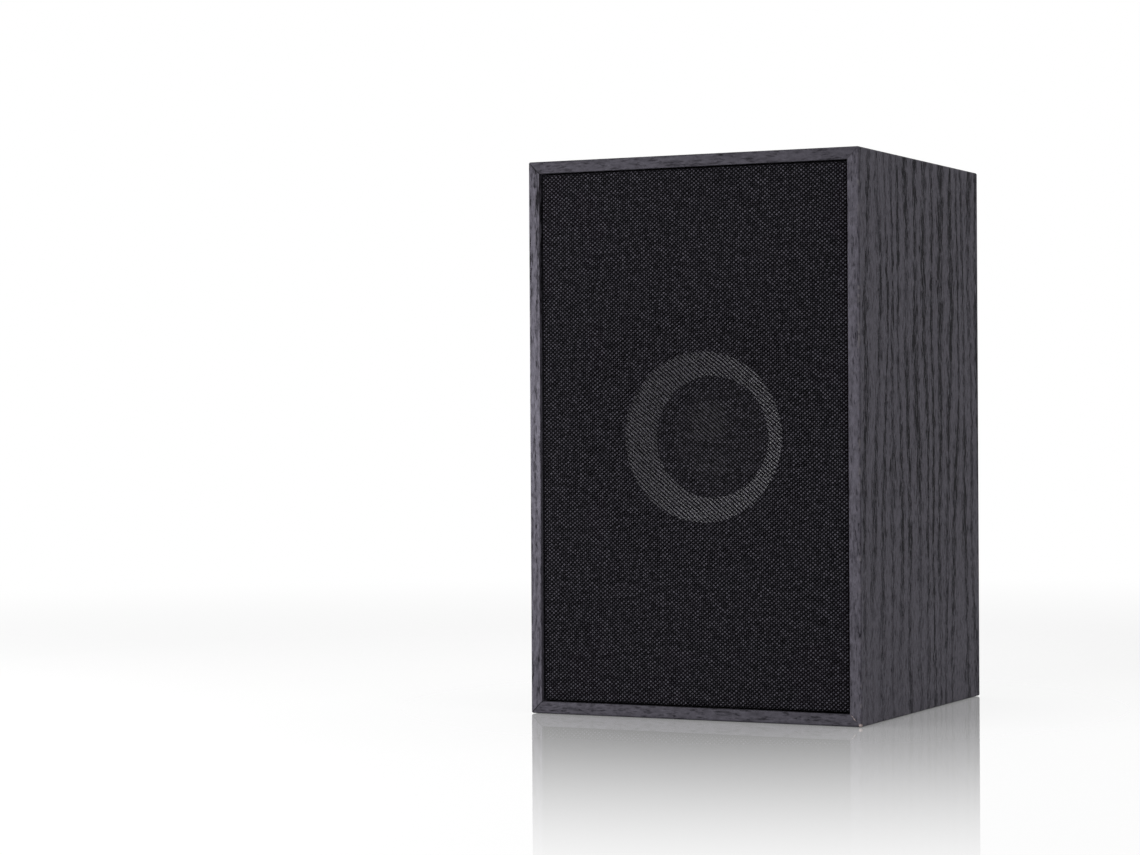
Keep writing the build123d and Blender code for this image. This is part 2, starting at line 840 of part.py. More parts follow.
def clamp_washer(x):
    bore = post_radius + post_thread_clearance
    return tube(bore, clamp_washer_radius, post_base_outer, washer_outer, x, terminal_height)


def knob_insert(x):
    bore = post_radius + post_thread_clearance
    return tube(bore, insert_radius, washer_outer, washer_outer + insert_length, x, terminal_height)


def knob_cap(x):
    """A fluted cap over the insert, open at its end for a plug."""
    bore = post_radius + post_thread_clearance
    plug_hole = plug_bore_radius + plug_hole_clearance
    insert_end = washer_outer + insert_length
    bore_end = knob_end - knob_end_thickness
    profile = Polyline(
        (insert_radius, washer_outer), (knob_radius, washer_outer),
        (knob_radius, knob_end - knob_end_chamfer), (knob_radius - knob_end_chamfer, knob_end),
        (plug_hole, knob_end), (plug_hole, bore_end), (bore, bore_end), (bore, insert_end),
        (insert_radius, insert_end), close=True,
    )
    cap = turned(profile, x=x, z=terminal_height)
    for dx, dz in on_circle(knob_radius, flute_count, 0):
        flute = Circle(flute_radius)
        cap -= slab(flute, washer_outer + knob_foot, knob_end, x + dx, terminal_height + dz)
    return cap


def post_nuts():
    bore = Circle(post_radius + post_thread_clearance)
    outline = RegularPolygon(nut_flats / 2, 6, major_radius=False) - bore
    return together([slab(outline, nut_front, lug_front, x, terminal_height) for x in post_places.values()])


def post_lugs():
    """A ring under each nut, a tail that rises clear of it and a barrel for the wire."""
    barrel_bore = wire_radius + crimp_clearance
    barrel_radius = barrel_bore + barrel_wall
    lugs = []
    for x in post_places.values():
        tail_height = lug_rise + barrel_radius
        tail = Pos(0, tail_height / 2) * Rectangle(lug_width, tail_height)
        plate = Circle(lug_radius) + tail - Circle(post_radius + post_hole_clearance)
        lug = slab(plate, lug_front, cup_floor_inner, x, terminal_height)
        lug += tube(barrel_bore, barrel_radius, barrel_front, lug_front, x, barrel_height)
        lugs.append(lug)
    return together(lugs)


nodes = mitred_panels()
nodes["baffle"] = baffle()
nodes["back_panel"] = back_panel()
nodes["damping_pad"] = damping_pad()
nodes["grille_frame"] = grille_frame()
nodes["grille_cloth"] = grille_cloth()
nodes["grille_pegs"] = grille_pegs()
nodes["grille_sockets"] = grille_sockets()
nodes["driver_basket"] = basket()
nodes["driver_gasket"] = driver_gasket()
nodes["gasket_ring"] = gasket_ring()
nodes["surround"] = surround()
nodes["cone"] = cone()
nodes["dust_cap"] = dust_cap()
nodes["voice_coil_former"] = voice_coil_former()
nodes["voice_coil"] = voice_coil()
nodes["spider"] = spider()
nodes["top_plate"] = top_plate()
nodes["magnet"] = magnet()
nodes["yoke"] = yoke()
nodes["tag_board"] = tag_board()
nodes["driver_tags"] = driver_tags()
nodes["tinsel_leads"] = tinsel_leads()
nodes["driver_screws"] = together(
    [screw(flange_front, driver_screw_length, -1, x, driver_height + dz) for x, dz in driver_screw_places()]
)
nodes["port_tube"] = port_tube()
nodes["terminal_cup"] = terminal_cup()
nodes["terminal_gasket"] = terminal_gasket()
nodes["terminal_screws"] = together(
    [screw(cup_mouth, cup_screw_length, 1, x, terminal_height + dz) for x, dz in cup_screw_places()]
)
for colour, place in post_places.items():
    nodes[colour + "_post"] = post_stud(place)
    nodes[colour + "_post_collar"] = post_collar(place)
    nodes[colour + "_clamp_washer"] = clamp_washer(place)
    nodes[colour + "_knob_insert"] = knob_insert(place)
    nodes[colour + "_knob_cap"] = knob_cap(place)
    nodes[colour + "_wire"] = hookup_wire(colour)
nodes["post_nuts"] = post_nuts()
nodes["post_lugs"] = post_lugs()
nodes["wire_connectors"] = wire_connectors()

for name, solid in nodes.items():
    export_step(solid, os.path.join("parts", name + ".step"))
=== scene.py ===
import json
import math

import bmesh
import bpy
import numpy as np
from mathutils import Matrix, Vector


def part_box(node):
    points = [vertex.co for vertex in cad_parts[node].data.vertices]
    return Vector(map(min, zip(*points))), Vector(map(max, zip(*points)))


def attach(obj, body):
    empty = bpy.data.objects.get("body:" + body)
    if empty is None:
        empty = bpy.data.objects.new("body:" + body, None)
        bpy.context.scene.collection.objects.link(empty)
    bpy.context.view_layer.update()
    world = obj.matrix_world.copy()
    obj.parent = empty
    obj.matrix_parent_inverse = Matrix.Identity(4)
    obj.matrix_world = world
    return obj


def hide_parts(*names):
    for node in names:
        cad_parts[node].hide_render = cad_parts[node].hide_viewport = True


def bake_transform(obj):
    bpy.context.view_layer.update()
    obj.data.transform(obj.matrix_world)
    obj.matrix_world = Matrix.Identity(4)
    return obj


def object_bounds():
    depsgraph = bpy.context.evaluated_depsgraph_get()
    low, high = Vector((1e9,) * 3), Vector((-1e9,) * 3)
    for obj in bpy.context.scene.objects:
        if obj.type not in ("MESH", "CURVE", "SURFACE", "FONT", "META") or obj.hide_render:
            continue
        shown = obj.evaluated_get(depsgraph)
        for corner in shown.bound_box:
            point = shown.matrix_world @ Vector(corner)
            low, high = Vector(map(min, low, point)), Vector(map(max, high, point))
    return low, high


# A small bookshelf speaker in black ash vinyl, with a cloth grille over one drive unit.
# Sizes are in metres in the frame of the CAD model: the front faces -Y and +Z is up.

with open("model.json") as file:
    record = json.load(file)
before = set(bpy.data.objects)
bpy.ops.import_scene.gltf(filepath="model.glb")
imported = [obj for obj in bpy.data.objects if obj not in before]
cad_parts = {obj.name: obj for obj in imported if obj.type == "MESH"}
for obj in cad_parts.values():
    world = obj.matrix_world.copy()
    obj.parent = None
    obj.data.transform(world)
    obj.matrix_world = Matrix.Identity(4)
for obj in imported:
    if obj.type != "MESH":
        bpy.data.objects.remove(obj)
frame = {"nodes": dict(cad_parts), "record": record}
cad_low, cad_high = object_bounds()
cad_nodes = frame["nodes"]
scene = bpy.context.scene
scene.view_settings.view_transform = "Standard"

MM = 0.001
QUARTER = math.pi / 2
WHOLE_TURN = 2 * math.pi
WHITE = (1, 1, 1, 1)


def new_object(name, data):
    made = bpy.data.objects.new(name, data)
    scene.collection.objects.link(made)
    return made


# Nodes for shaders and geometry

def node(tree, kind, inputs=None, **settings):
    """A node with its settings, and its inputs set to values or linked to other sockets."""
    made = tree.nodes.new(kind)
    for name, value in settings.items():
        setattr(made, name, value)
    for key, value in (inputs or {}).items():
        if isinstance(value, bpy.types.NodeSocket):
            tree.links.new(value, made.inputs[key])
        else:
            made.inputs[key].default_value = value
    return made


def math_node(tree, operation, first, second=0.0, third=0.0, clamp=False):
    inputs = {0: first, 1: second, 2: third}
    return node(tree, "ShaderNodeMath", inputs, operation=operation, use_clamp=clamp).outputs[0]


def total(tree, first, second):
    return math_node(tree, "ADD", first, second)


def difference(tree, first, second, clamp=False):
    return math_node(tree, "SUBTRACT", first, second, clamp=clamp)


def product(tree, first, second, clamp=False):
    return math_node(tree, "MULTIPLY", first, second, clamp=clamp)


def quotient(tree, first, second):
    return math_node(tree, "DIVIDE", first, second)


def map_range(tree, value, low, high, new_low=0.0, new_high=1.0):
    """A smooth step from one range of values to another."""
    inputs = {"Value": value, "From Min": low, "From Max": high, "To Min": new_low, "To Max": new_high}
    return node(tree, "ShaderNodeMapRange", inputs, interpolation_type="SMOOTHSTEP").outputs["Result"]


def split(tree, vector):
    return node(tree, "ShaderNodeSeparateXYZ", {0: vector}).outputs


def joined(tree, x=0.0, y=0.0, z=0.0):
    return node(tree, "ShaderNodeCombineXYZ", {0: x, 1: y, 2: z}).outputs[0]


def vector_node(tree, operation, first, second=(0.0, 0.0, 0.0), result=0):
    inputs = {0: first, 1: second}
    return node(tree, "ShaderNodeVectorMath", inputs, operation=operation).outputs[result]


def length(tree, vector):
    return vector_node(tree, "LENGTH", vector, result="Value")


def scaled(tree, vector, scale):
    return vector_node(tree, "MULTIPLY", vector, scale)


def in_mm(tree, vector):
    return scaled(tree, vector, (1000, 1000, 1000))


def noise(tree, vector, detail=2.0, roughness=0.5, scale=1.0):
    inputs = {"Vector": vector, "Scale": scale, "Detail": detail, "Roughness": roughness}
    return node(tree, "ShaderNodeTexNoise", inputs).outputs["Fac"]


def mix_colours(tree, share, first, second):
    """Two colours mixed. The mix node keeps its colour sockets at 6 and 7, and its colour result at 2."""
    return node(tree, "ShaderNodeMix", {0: share, 6: first, 7: second}, data_type="RGBA").outputs[2]


# Camera and stage

PHOTO_WIDTH = 1140
FOCAL_PIXELS = 2920.9
SENSOR_WIDTH = 36.0
CAMERA_PLACE = Vector((0.494, -1.1842, 0.124))
CAMERA_YAW = -0.4602
CAMERA_PITCH = -0.0018
CAMERA_ROLL = -0.0056


def add_camera():
    data = bpy.data.cameras.new("photo_camera")
    data.sensor_fit = "HORIZONTAL"
    data.sensor_width = SENSOR_WIDTH
    data.lens = SENSOR_WIDTH * FOCAL_PIXELS / PHOTO_WIDTH
    data.clip_start = 0.05
    data.clip_end = 50.0
    ahead = Vector((
        math.sin(CAMERA_YAW) * math.cos(CAMERA_PITCH),
        math.cos(CAMERA_YAW) * math.cos(CAMERA_PITCH),
        math.sin(CAMERA_PITCH),
    ))
    level = Vector((math.cos(CAMERA_YAW), -math.sin(CAMERA_YAW), 0.0))
    upright = level.cross(ahead)
    right = level * math.cos(CAMERA_ROLL) + upright * math.sin(CAMERA_ROLL)
    up = upright * math.cos(CAMERA_ROLL) - level * math.sin(CAMERA_ROLL)
    turn = Matrix((right, up, -ahead)).transposed()
    camera = new_object("photo_camera", data)
    camera.matrix_world = Matrix.Translation(CAMERA_PLACE) @ turn.to_4x4()
    scene.camera = camera


def seen_directly(tree):
    """1 for what the camera, a reflection or a see-through surface looks at, and 0 for light."""
    path = tree.nodes.new("ShaderNodeLightPath")
    looks = math_node(tree, "MAXIMUM", path.outputs["Is Camera Ray"], path.outputs["Is Glossy Ray"])
    return math_node(tree, "MAXIMUM", looks, path.outputs["Is Transmission Ray"])


WORLD_LIGHT = 0.34


def add_world():
    world = bpy.data.worlds.new("white_studio")
    scene.world = world
    world.use_nodes = True
    tree = world.node_tree
    tree.nodes.clear()
    strength = map_range(tree, seen_directly(tree), 0.0, 1.0, WORLD_LIGHT, 1.0)
    background = node(tree, "ShaderNodeBackground", {"Color": WHITE, "Strength": strength})
    output = tree.nodes.new("ShaderNodeOutputWorld")
    tree.links.new(background.outputs[0], output.inputs["Surface"])


FLOOR_HALF = 8.0
FLOOR_DROP = 0.2 * MM
FLOOR_BOUNCE = 0.25
FLOOR_PAINT = 1.1
MIRROR_SHARE = 0.69
MIRROR_NEAR = 0.06
MIRROR_FAR = 0.57
SHADOW_SHARE = 0.5
SHADOW_NEAR = 0.25
SHADOW_FAR = 1.1


def add_floor():
    """A white floor whose mirror and shadow are strongest under the object and fade to plain white."""
    mesh = bpy.data.meshes.new("floor")
    signs = [(-1, -1), (1, -1), (1, 1), (-1, 1)]
    mesh.from_pydata([(x * FLOOR_HALF, y * FLOOR_HALF, -FLOOR_DROP) for x, y in signs], [], [(0, 1, 2, 3)])
    material = bpy.data.materials.new("white_floor")
    material.use_nodes = True
    tree = material.node_tree
    tree.nodes.clear()
    away = length(tree, tree.nodes.new("ShaderNodeTexCoord").outputs["Object"])
    looks = seen_directly(tree)
    paint = map_range(tree, looks, 0.0, 1.0, FLOOR_BOUNCE, FLOOR_PAINT)
    matt = node(tree, "ShaderNodeBsdfDiffuse", {"Color": paint})
    plain = node(tree, "ShaderNodeEmission", {"Color": WHITE, "Strength": 1.0})
    mirror = node(tree, "ShaderNodeBsdfGlossy", {"Color": WHITE, "Roughness": 0.0})
    shadow = map_range(tree, away, SHADOW_NEAR, SHADOW_FAR, SHADOW_SHARE, 0.0)
    shadow = math_node(tree, "MAXIMUM", shadow, difference(tree, 1.0, looks))
    base = node(tree, "ShaderNodeMixShader", {0: shadow, 1: plain.outputs[0], 2: matt.outputs[0]})
    shine = map_range(tree, away, MIRROR_NEAR, MIRROR_FAR, MIRROR_SHARE, 0.0)
    shine = product(tree, shine, looks)
    both = node(tree, "ShaderNodeMixShader", {0: shine, 1: base.outputs[0], 2: mirror.outputs[0]})
    output = tree.nodes.new("ShaderNodeOutputMaterial")
    tree.links.new(both.outputs[0], output.inputs["Surface"])
    mesh.materials.append(material)
    new_object("floor", mesh)


def add_area_light(name, place, target, width, height, power, mirrored=False):
    data = bpy.data.lights.new(name, "AREA")
    data.shape = "RECTANGLE"
    data.size = width
    data.size_y = height
    data.energy = power
    light = new_object(name, data)
    direction = Vector(target) - Vector(place)
    light.rotation_euler = direction.to_track_quat("-Z", "Y").to_euler()
    light.location = place
    light.visible_camera = False
    light.visible_glossy = mirrored
    return light


PANELS = ("top_panel", "bottom_panel", "left_panel", "right_panel")
LIP_LIGHT_PLACE = (-0.075, -0.2, 0.14)
LIP_LIGHT_TARGET = (-0.075, 0.0, 0.14)


def add_lip_light():
    """A small soft light close to the front, which brings out the lips of the cabinet alone."""
    light = add_area_light(
        "lip_light", LIP_LIGHT_PLACE, LIP_LIGHT_TARGET, width=0.05, height=0.05, power=0.14,
    )
    receivers = bpy.data.collections.new("lips")
    for name in PANELS:
        receivers.objects.link(cad_nodes[name])
    light.light_linking.receiver_collection = receivers


add_camera()
add_world()
add_floor()
middle = (cad_low + cad_high) / 2
add_area_light("key_light", (-0.73, -2.0, 0.69), middle, width=1.6, height=1.4, power=26.0, mirrored=True)
add_area_light("left_light", (-0.6, -0.5, 0.15), middle, width=0.3, height=0.4, power=2.0)
add_area_light("side_light", (1.9, -0.9, 0.2), middle, width=0.9, height=1.2, power=13.5)
add_area_light("top_light", (0.0, 0.3, 2.0), middle, width=1.5, height=1.5, power=14.0)
add_lip_light()


# Shader groups that several finishes share

def new_group(name, inputs, outputs):
    """An empty shader group. An input that starts at None is a vector, and the others are values."""
    tree = bpy.data.node_groups.new(name, "ShaderNodeTree")
    for socket_name, start in inputs.items():
        kind = "NodeSocketVector" if start is None else "NodeSocketFloat"
        socket = tree.interface.new_socket(socket_name, in_out="INPUT", socket_type=kind)
        if start is not None:
            socket.default_value = start
    for socket_name in outputs:
        tree.interface.new_socket(socket_name, in_out="OUTPUT", socket_type="NodeSocketFloat")
    return tree, tree.nodes.new("NodeGroupInput").outputs, tree.nodes.new("NodeGroupOutput").inputs


# Ash grain: scales are per millimetre, with the grain along the third one, and bends are in millimetres.
SLOW_BEND_SCALE = (0.025, 0.025, 0.005)
SLOW_BEND = 40.0
QUICK_BEND_SCALE = (0.12, 0.12, 0.03)
QUICK_BEND = 6.0
DASH_SCALE = (1.25, 1.25, 0.15)
RAGGEDNESS = 9.5
FADE_SCALE = (0.07, 0.07, 0.012)
FADED_RINGS = 0.45
PORE_ACROSS = 1.5
PORE_LEVEL = 0.58
PORE_SOFTNESS = 0.08
FIBRE_SCALE = (0.9, 0.9, 0.4)
FIBRE_CONTRAST = 1.9
GROUND_TONE = 0.08
RING_DARKNESS = 1.05
PORE_DARKNESS = 0.4
DARKEST_TONE = 0.13


def ash_grain_group():
    """Open ash grain along Z: wavy dark rings of short dashes on a plain fibrous ground, in millimetres."""
    inputs = {"Vector": None, "Ring Share": 1.0, "Ring Width": 9.5, "Pore Length": 3.5}
    tree, given, result = new_group("ash_grain", inputs, ["Tone", "Height"])
    place = in_mm(tree, given["Vector"])
    parts = split(tree, place)
    slow = noise(tree, scaled(tree, place, SLOW_BEND_SCALE), 1.0)
    quick = noise(tree, scaled(tree, place, QUICK_BEND_SCALE), 2.0)
    across = total(tree, parts[0], parts[1])
    across = math_node(tree, "MULTIPLY_ADD", slow, SLOW_BEND, across)
    across = math_node(tree, "MULTIPLY_ADD", quick, QUICK_BEND, across)
    turns = quotient(tree, product(tree, across, WHOLE_TURN), given["Ring Width"])
    dashes = difference(tree, noise(tree, scaled(tree, place, DASH_SCALE), 3.0, 0.7), 0.5)
    ragged = math_node(tree, "MULTIPLY_ADD", dashes, RAGGEDNESS, math_node(tree, "SINE", turns))
    rings = map_range(tree, ragged, 0.2, 0.95)
    fading = noise(tree, scaled(tree, place, FADE_SCALE), 1.0)
    rings = product(tree, rings, map_range(tree, fading, 0.35, 0.6, FADED_RINGS, 1.0))
    rings = product(tree, rings, given["Ring Share"])
    pore_scale = joined(tree, PORE_ACROSS, PORE_ACROSS, quotient(tree, 1.0, given["Pore Length"]))
    pores = noise(tree, scaled(tree, place, pore_scale), 1.0)
    pore_edge = math_node(tree, "MULTIPLY_ADD", rings, -PORE_SOFTNESS, PORE_LEVEL)
    pores = map_range(tree, difference(tree, pores, pore_edge), 0.0, PORE_SOFTNESS)
    fibres = noise(tree, scaled(tree, place, FIBRE_SCALE), 4.0, 0.75)
    tone = math_node(tree, "MULTIPLY_ADD", fibres, FIBRE_CONTRAST, GROUND_TONE)
    tone = math_node(tree, "MULTIPLY_ADD", rings, -RING_DARKNESS, tone)
    tone = math_node(tree, "MULTIPLY_ADD", pores, -PORE_DARKNESS, tone)
    hollow = math_node(tree, "MULTIPLY_ADD", rings, -0.6, product(tree, fibres, 0.35))
    tree.links.new(math_node(tree, "MAXIMUM", tone, DARKEST_TONE), result["Tone"])
    tree.links.new(difference(tree, hollow, pores), result["Height"])
    return tree


def edge_wear_and_shade_group():
    """How close a point of a box is to the box's edges, broken up by noise."""
    inputs = {"Vector": None, "Half Size": None, "Centre": None, "Reach": 0.001, "Amount": 0.5}
    tree, given, result = new_group("edge_wear", inputs, ["Wear"])
    offset = vector_node(tree, "SUBTRACT", given["Vector"], given["Centre"])
    away = vector_node(tree, "ABSOLUTE", offset)
    gaps = split(tree, vector_node(tree, "SUBTRACT", given["Half Size"], away))
    lower = math_node(tree, "MINIMUM", gaps[0], gaps[1])
    upper = math_node(tree, "MAXIMUM", gaps[0], gaps[1])
    second = math_node(tree, "MAXIMUM", lower, math_node(tree, "MINIMUM", upper, gaps[2]))
    near = difference(tree, 1.0, quotient(tree, second, given["Reach"]), clamp=True)
    patches = map_range(tree, noise(tree, given["Vector"], 4.0, 0.6, 130.0), 0.42, 0.66)
    edge_patches = product(tree, near, patches)
    tree.links.new(product(tree, edge_patches, given["Amount"], clamp=True), result["Wear"])
    return tree


def fine_grain_group():
    """A fine even grain for moulded, painted and pressed surfaces, with a slower drift of tone."""
    inputs = {"Vector": None, "Grain Size": 0.4, "Drift Size": 25.0, "Contrast": 0.2, "Drift": 0.2}
    tree, given, result = new_group("fine_grain", inputs, ["Tone", "Height"])
    place = in_mm(tree, given["Vector"])
    fine = noise(tree, place, 2.0, 0.6, quotient(tree, 1.0, given["Grain Size"]))
    slow = noise(tree, place, 2.0, 0.5, quotient(tree, 1.0, given["Drift Size"]))
    tone = math_node(tree, "MULTIPLY_ADD", difference(tree, fine, 0.5), given["Contrast"], 1.0)
    tone = math_node(tree, "MULTIPLY_ADD", difference(tree, slow, 0.5), given["Drift"], tone)
    tree.links.new(tone, result["Tone"])
    tree.links.new(fine, result["Height"])
    return tree


def lathe_marks_group():
    """Fine rings left by turning about an axis that runs front to back."""
    inputs = {"Vector": None, "Pitch": 0.35, "Contrast": 0.15}
    tree, given, result = new_group("lathe_marks", inputs, ["Tone", "Height"])
    place = in_mm(tree, given["Vector"])
    parts = split(tree, place)
    radius = length(tree, joined(tree, parts[0], parts[2]))
    run = total(tree, radius, parts[1])
    ripple = math_node(tree, "SINE", quotient(tree, product(tree, run, WHOLE_TURN), given["Pitch"]))
    broken = product(tree, ripple, noise(tree, place, 3.0, 0.6, 0.9))
    tree.links.new(math_node(tree, "MULTIPLY_ADD", broken, given["Contrast"], 1.0), result["Tone"])
    tree.links.new(broken, result["Height"])
    return tree


ASH_GRAIN = ash_grain_group()
EDGE_WEAR_AND_SHADE = edge_wear_and_shade_group()
FINE_GRAIN = fine_grain_group()
LATHE_MARKS = lathe_marks_group()


# Finishes

def new_material(name, colour, roughness, metallic=0.0, specular=0.5):
    """A material with plain values, its node tree, its shader and its object coordinates."""
    material = bpy.data.materials.new(name)
    material.use_nodes = True
    material.diffuse_color = (*colour, 1)
    tree = material.node_tree
    shader = tree.nodes["Principled BSDF"]
    shader.inputs["Base Color"].default_value = (*colour, 1)
    shader.inputs["Roughness"].default_value = roughness
    shader.inputs["Metallic"].default_value = metallic
    shader.inputs["Specular IOR Level"].default_value = specular
    place = tree.nodes.new("ShaderNodeTexCoord").outputs["Object"]
    return material, tree, shader, place


def use_group(tree, group, inputs):
    return node(tree, "ShaderNodeGroup", inputs, node_tree=group).outputs


def bump(tree, shader, height, depth):
    made = node(tree, "ShaderNodeBump", {"Height": height, "Distance": depth, "Strength": 1.0})
    tree.links.new(made.outputs[0], shader.inputs["Normal"])


def grained(name, colour, roughness, grain_mm, depth_mm, contrast=0.25, drift_mm=25.0, spread=0.08, **plain):
    """A finish with a fine grain in its colour, its roughness and its surface."""
    material, tree, shader, place = new_material(name, colour, roughness, **plain)
    grain = use_group(tree, FINE_GRAIN, {
        "Vector": place,
        "Grain Size": grain_mm,
        "Drift Size": drift_mm,
        "Contrast": contrast,
        "Drift": contrast,
    })
    tree.links.new(scaled(tree, colour, grain["Tone"]), shader.inputs["Base Color"])
    rough = map_range(tree, grain["Height"], 0.3, 0.7, roughness - spread, roughness + spread)
    tree.links.new(rough, shader.inputs["Roughness"])
    bump(tree, shader, grain["Height"], depth_mm * MM)
    return material


TURNED_SPREAD = 0.06


def turned_metal(name, colour, roughness, axis_place, pitch_mm=0.35, depth_mm=0.004):
    """Metal with turning marks round an axis through axis_place."""
    material, tree, shader, place = new_material(name, colour, roughness, metallic=1.0)
    centred = node(tree, "ShaderNodeMapping", {"Vector": place, "Location": [-x for x in axis_place]})
    marks = use_group(tree, LATHE_MARKS, {"Vector": centred.outputs[0], "Pitch": pitch_mm})
    tree.links.new(scaled(tree, colour, marks["Tone"]), shader.inputs["Base Color"])
    low, high = roughness - TURNED_SPREAD, roughness + TURNED_SPREAD
    tree.links.new(map_range(tree, marks["Height"], -0.5, 0.5, low, high), shader.inputs["Roughness"])
    bump(tree, shader, marks["Height"], depth_mm * MM)
    return material


VINYL_LIGHT = (0.092, 0.0865, 0.105)
# Dark of the mitre folds, also used for the painted shade on the top and bottom edges.
DARK_FOLD_AND_EDGE_SHADE = (0.016, 0.015, 0.018)
# Light grey of the edge specks: worn vinyl, and a painted highlight.
RUBBED_AND_HIGHLIGHT = (0.17, 0.16, 0.17)
RAW_BOARD = (0.4, 0.33, 0.32)
LIP_RING_WIDTH = 3.6
SIDE_RING_WIDTH = 10.0
LOW_FADE = (10.0 * MM, 110.0 * MM)
DEPTH_FADE = (-60.0 * MM, 20.0 * MM)
EDGE_MARK_REACH = 1.0 * MM
EDGE_MARK_AMOUNT = 0.9
VINYL_DEPTH = 0.05 * MM
half_width = cad_high.x
half_depth = cad_high.y
half_height = cad_high.z / 2
LIP_FADE = (0.3 * MM - half_depth, 0.9 * MM - half_depth)
END_FADE = (half_height - 2.5 * MM, half_height - 1.0 * MM)
END_EDGE_SHADE = 0.6
SPECK_SCALE = 260.0
RIGHT_LINE_SHARE = 0.3
SCUFF_SCALE = 700.0
SCUFF_HEIGHT = 10.0 * MM
MITRE_FADE = (0.15 * MM, 0.4 * MM)
MITRE_BACK = (0.6 * MM - half_depth, 0.9 * MM - half_depth)
CHIP_SIZE = 2.2 * MM
CHIP_EDGE = 0.5 * MM
CHIP_SCALE = 900.0


def vinyl(
    name, grain_turn, shift, painted_panel_light, lip_share, painted_lip_light, low_share=1.0, front_share=1.0, rear_share=1.0,
):
    """Black ash vinyl. grain_turn lays the grain along the panel, and shift gives each panel its own figure.

    The panel's factor is painted light and shade. It makes the whole panel lighter or darker by how light
    falls on it, and the lip's factor does the same for its front lip, as a share of the panel's. The other
    shares say how strong the rings are on the lip, low down, at the front and at the rear.
    """
    # Painted light and shade: the panel's colour is scaled by how light falls on that panel.
    light = [painted_panel_light * part for part in VINYL_LIGHT]
    material, tree, shader, place = new_material(name, light, 0.55, specular=0.03)
    laid = node(tree, "ShaderNodeMapping", {"Vector": place, "Rotation": grain_turn, "Location": shift})
    parts = split(tree, place)
    behind_lip = map_range(tree, parts[1], *LIP_FADE)
    ring_share = map_range(tree, behind_lip, 0.0, 1.0, lip_share, 1.0)
    ring_share = product(tree, ring_share, map_range(tree, parts[2], *LOW_FADE, low_share, 1.0))
    ring_share = product(tree, ring_share, map_range(tree, parts[1], *DEPTH_FADE, front_share, rear_share))
    grain = use_group(tree, ASH_GRAIN, {
        "Vector": laid.outputs[0],
        "Ring Share": ring_share,
        "Ring Width": map_range(tree, behind_lip, 0.0, 1.0, LIP_RING_WIDTH, SIDE_RING_WIDTH),
    })
    # Painted light and shade on the front lip, as a share of the panel's.
    tone = product(tree, grain["Tone"], map_range(tree, behind_lip, 0.0, 1.0, painted_lip_light, 1.0))
    colour = scaled(tree, light, tone)
    # Closeness to the box's edges: the mask for both the painted shade on the edges and their wear.
    wear_and_shade = use_group(tree, EDGE_WEAR_AND_SHADE, {
        "Vector": place,
        "Half Size": (half_width, half_depth, half_height),
        "Centre": (0, 0, half_height),
        "Reach": EDGE_MARK_REACH,
        "Amount": EDGE_MARK_AMOUNT,
    })["Wear"]
    # Painted shade: the edges along the top and bottom are darker where they round away from the light.
    off_middle = math_node(tree, "ABSOLUTE", difference(tree, parts[2], half_height))
    at_end = map_range(tree, off_middle, *END_FADE)
    edge_shade_share = product(tree, wear_and_shade, product(tree, at_end, END_EDGE_SHADE))
    colour = mix_colours(tree, edge_shade_share, colour, (*DARK_FOLD_AND_EDGE_SHADE, 1))
    # Light specks on the upright edges: partly wear, partly a painted highlight on their rounding.
    specks = map_range(tree, noise(tree, place, 2.0, 0.5, SPECK_SCALE), 0.52, 0.6)
    rubbed_and_highlight = product(tree, wear_and_shade, difference(tree, specks, at_end, clamp=True))
    colour = mix_colours(tree, rubbed_and_highlight, colour, (*RUBBED_AND_HIGHLIGHT, 1))
    line = mitre_line(tree, parts)
    right = math_node(tree, "GREATER_THAN", parts[0], 0.0)
    dark_line = product(tree, line, map_range(tree, right, 0.0, 1.0, 1.0, RIGHT_LINE_SHARE))
    colour = mix_colours(tree, dark_line, colour, (*DARK_FOLD_AND_EDGE_SHADE, 1))
    scuffs = map_range(tree, noise(tree, place, 3.0, 0.6, SCUFF_SCALE), 0.42, 0.6)
    low_right = product(tree, right, math_node(tree, "LESS_THAN", parts[2], SCUFF_HEIGHT))
    scuffed = product(tree, product(tree, line, low_right), scuffs)
    bare = math_node(tree, "MAXIMUM", scuffed, corner_chip(tree, place))
    colour = mix_colours(tree, bare, colour, (*RAW_BOARD, 1))
    tree.links.new(colour, shader.inputs["Base Color"])
    rough = map_range(tree, grain["Tone"], 0.4, 1.1, 0.66, 0.5)
    tree.links.new(rough, shader.inputs["Roughness"])
    bump(tree, shader, grain["Height"], VINYL_DEPTH)
    return material


def mitre_line(tree, parts):
    """The fold at each front corner, where the lips meet at 45 degrees."""
    from_side = difference(tree, half_width, math_node(tree, "ABSOLUTE", parts[0]))
    height = difference(tree, parts[2], half_height)
    from_end = difference(tree, half_height, math_node(tree, "ABSOLUTE", height))
    off = math_node(tree, "ABSOLUTE", difference(tree, from_side, from_end))
    line = map_range(tree, off, *MITRE_FADE, 1.0, 0.0)
    front = map_range(tree, parts[1], *MITRE_BACK, 1.0, 0.0)
    return product(tree, line, front)


def corner_chip(tree, place):
    """A small chip at the lower right front corner that bares the board."""
    corner = (half_width, -half_depth, 0.0)
    offset = vector_node(tree, "DISTANCE", place, corner, result="Value")
    ragged = math_node(tree, "MULTIPLY_ADD", noise(tree, place, 3.0, 0.6, CHIP_SCALE), CHIP_SIZE, offset)
    return map_range(tree, ragged, CHIP_SIZE, CHIP_SIZE + CHIP_EDGE, 1.0, 0.0)


STRAND_ACROSS = 2.0 * MM
STRAND_UP = 1.67 * MM
YARN_ANGLE = math.atan2(STRAND_UP, STRAND_ACROSS)
SLUB_STRETCH = (0.4, 1.0, 1.0)
SHADED_YARN_LIGHT = 0.1
FLECK_CONTRAST = 0.9
FLECK_BASE = 0.55


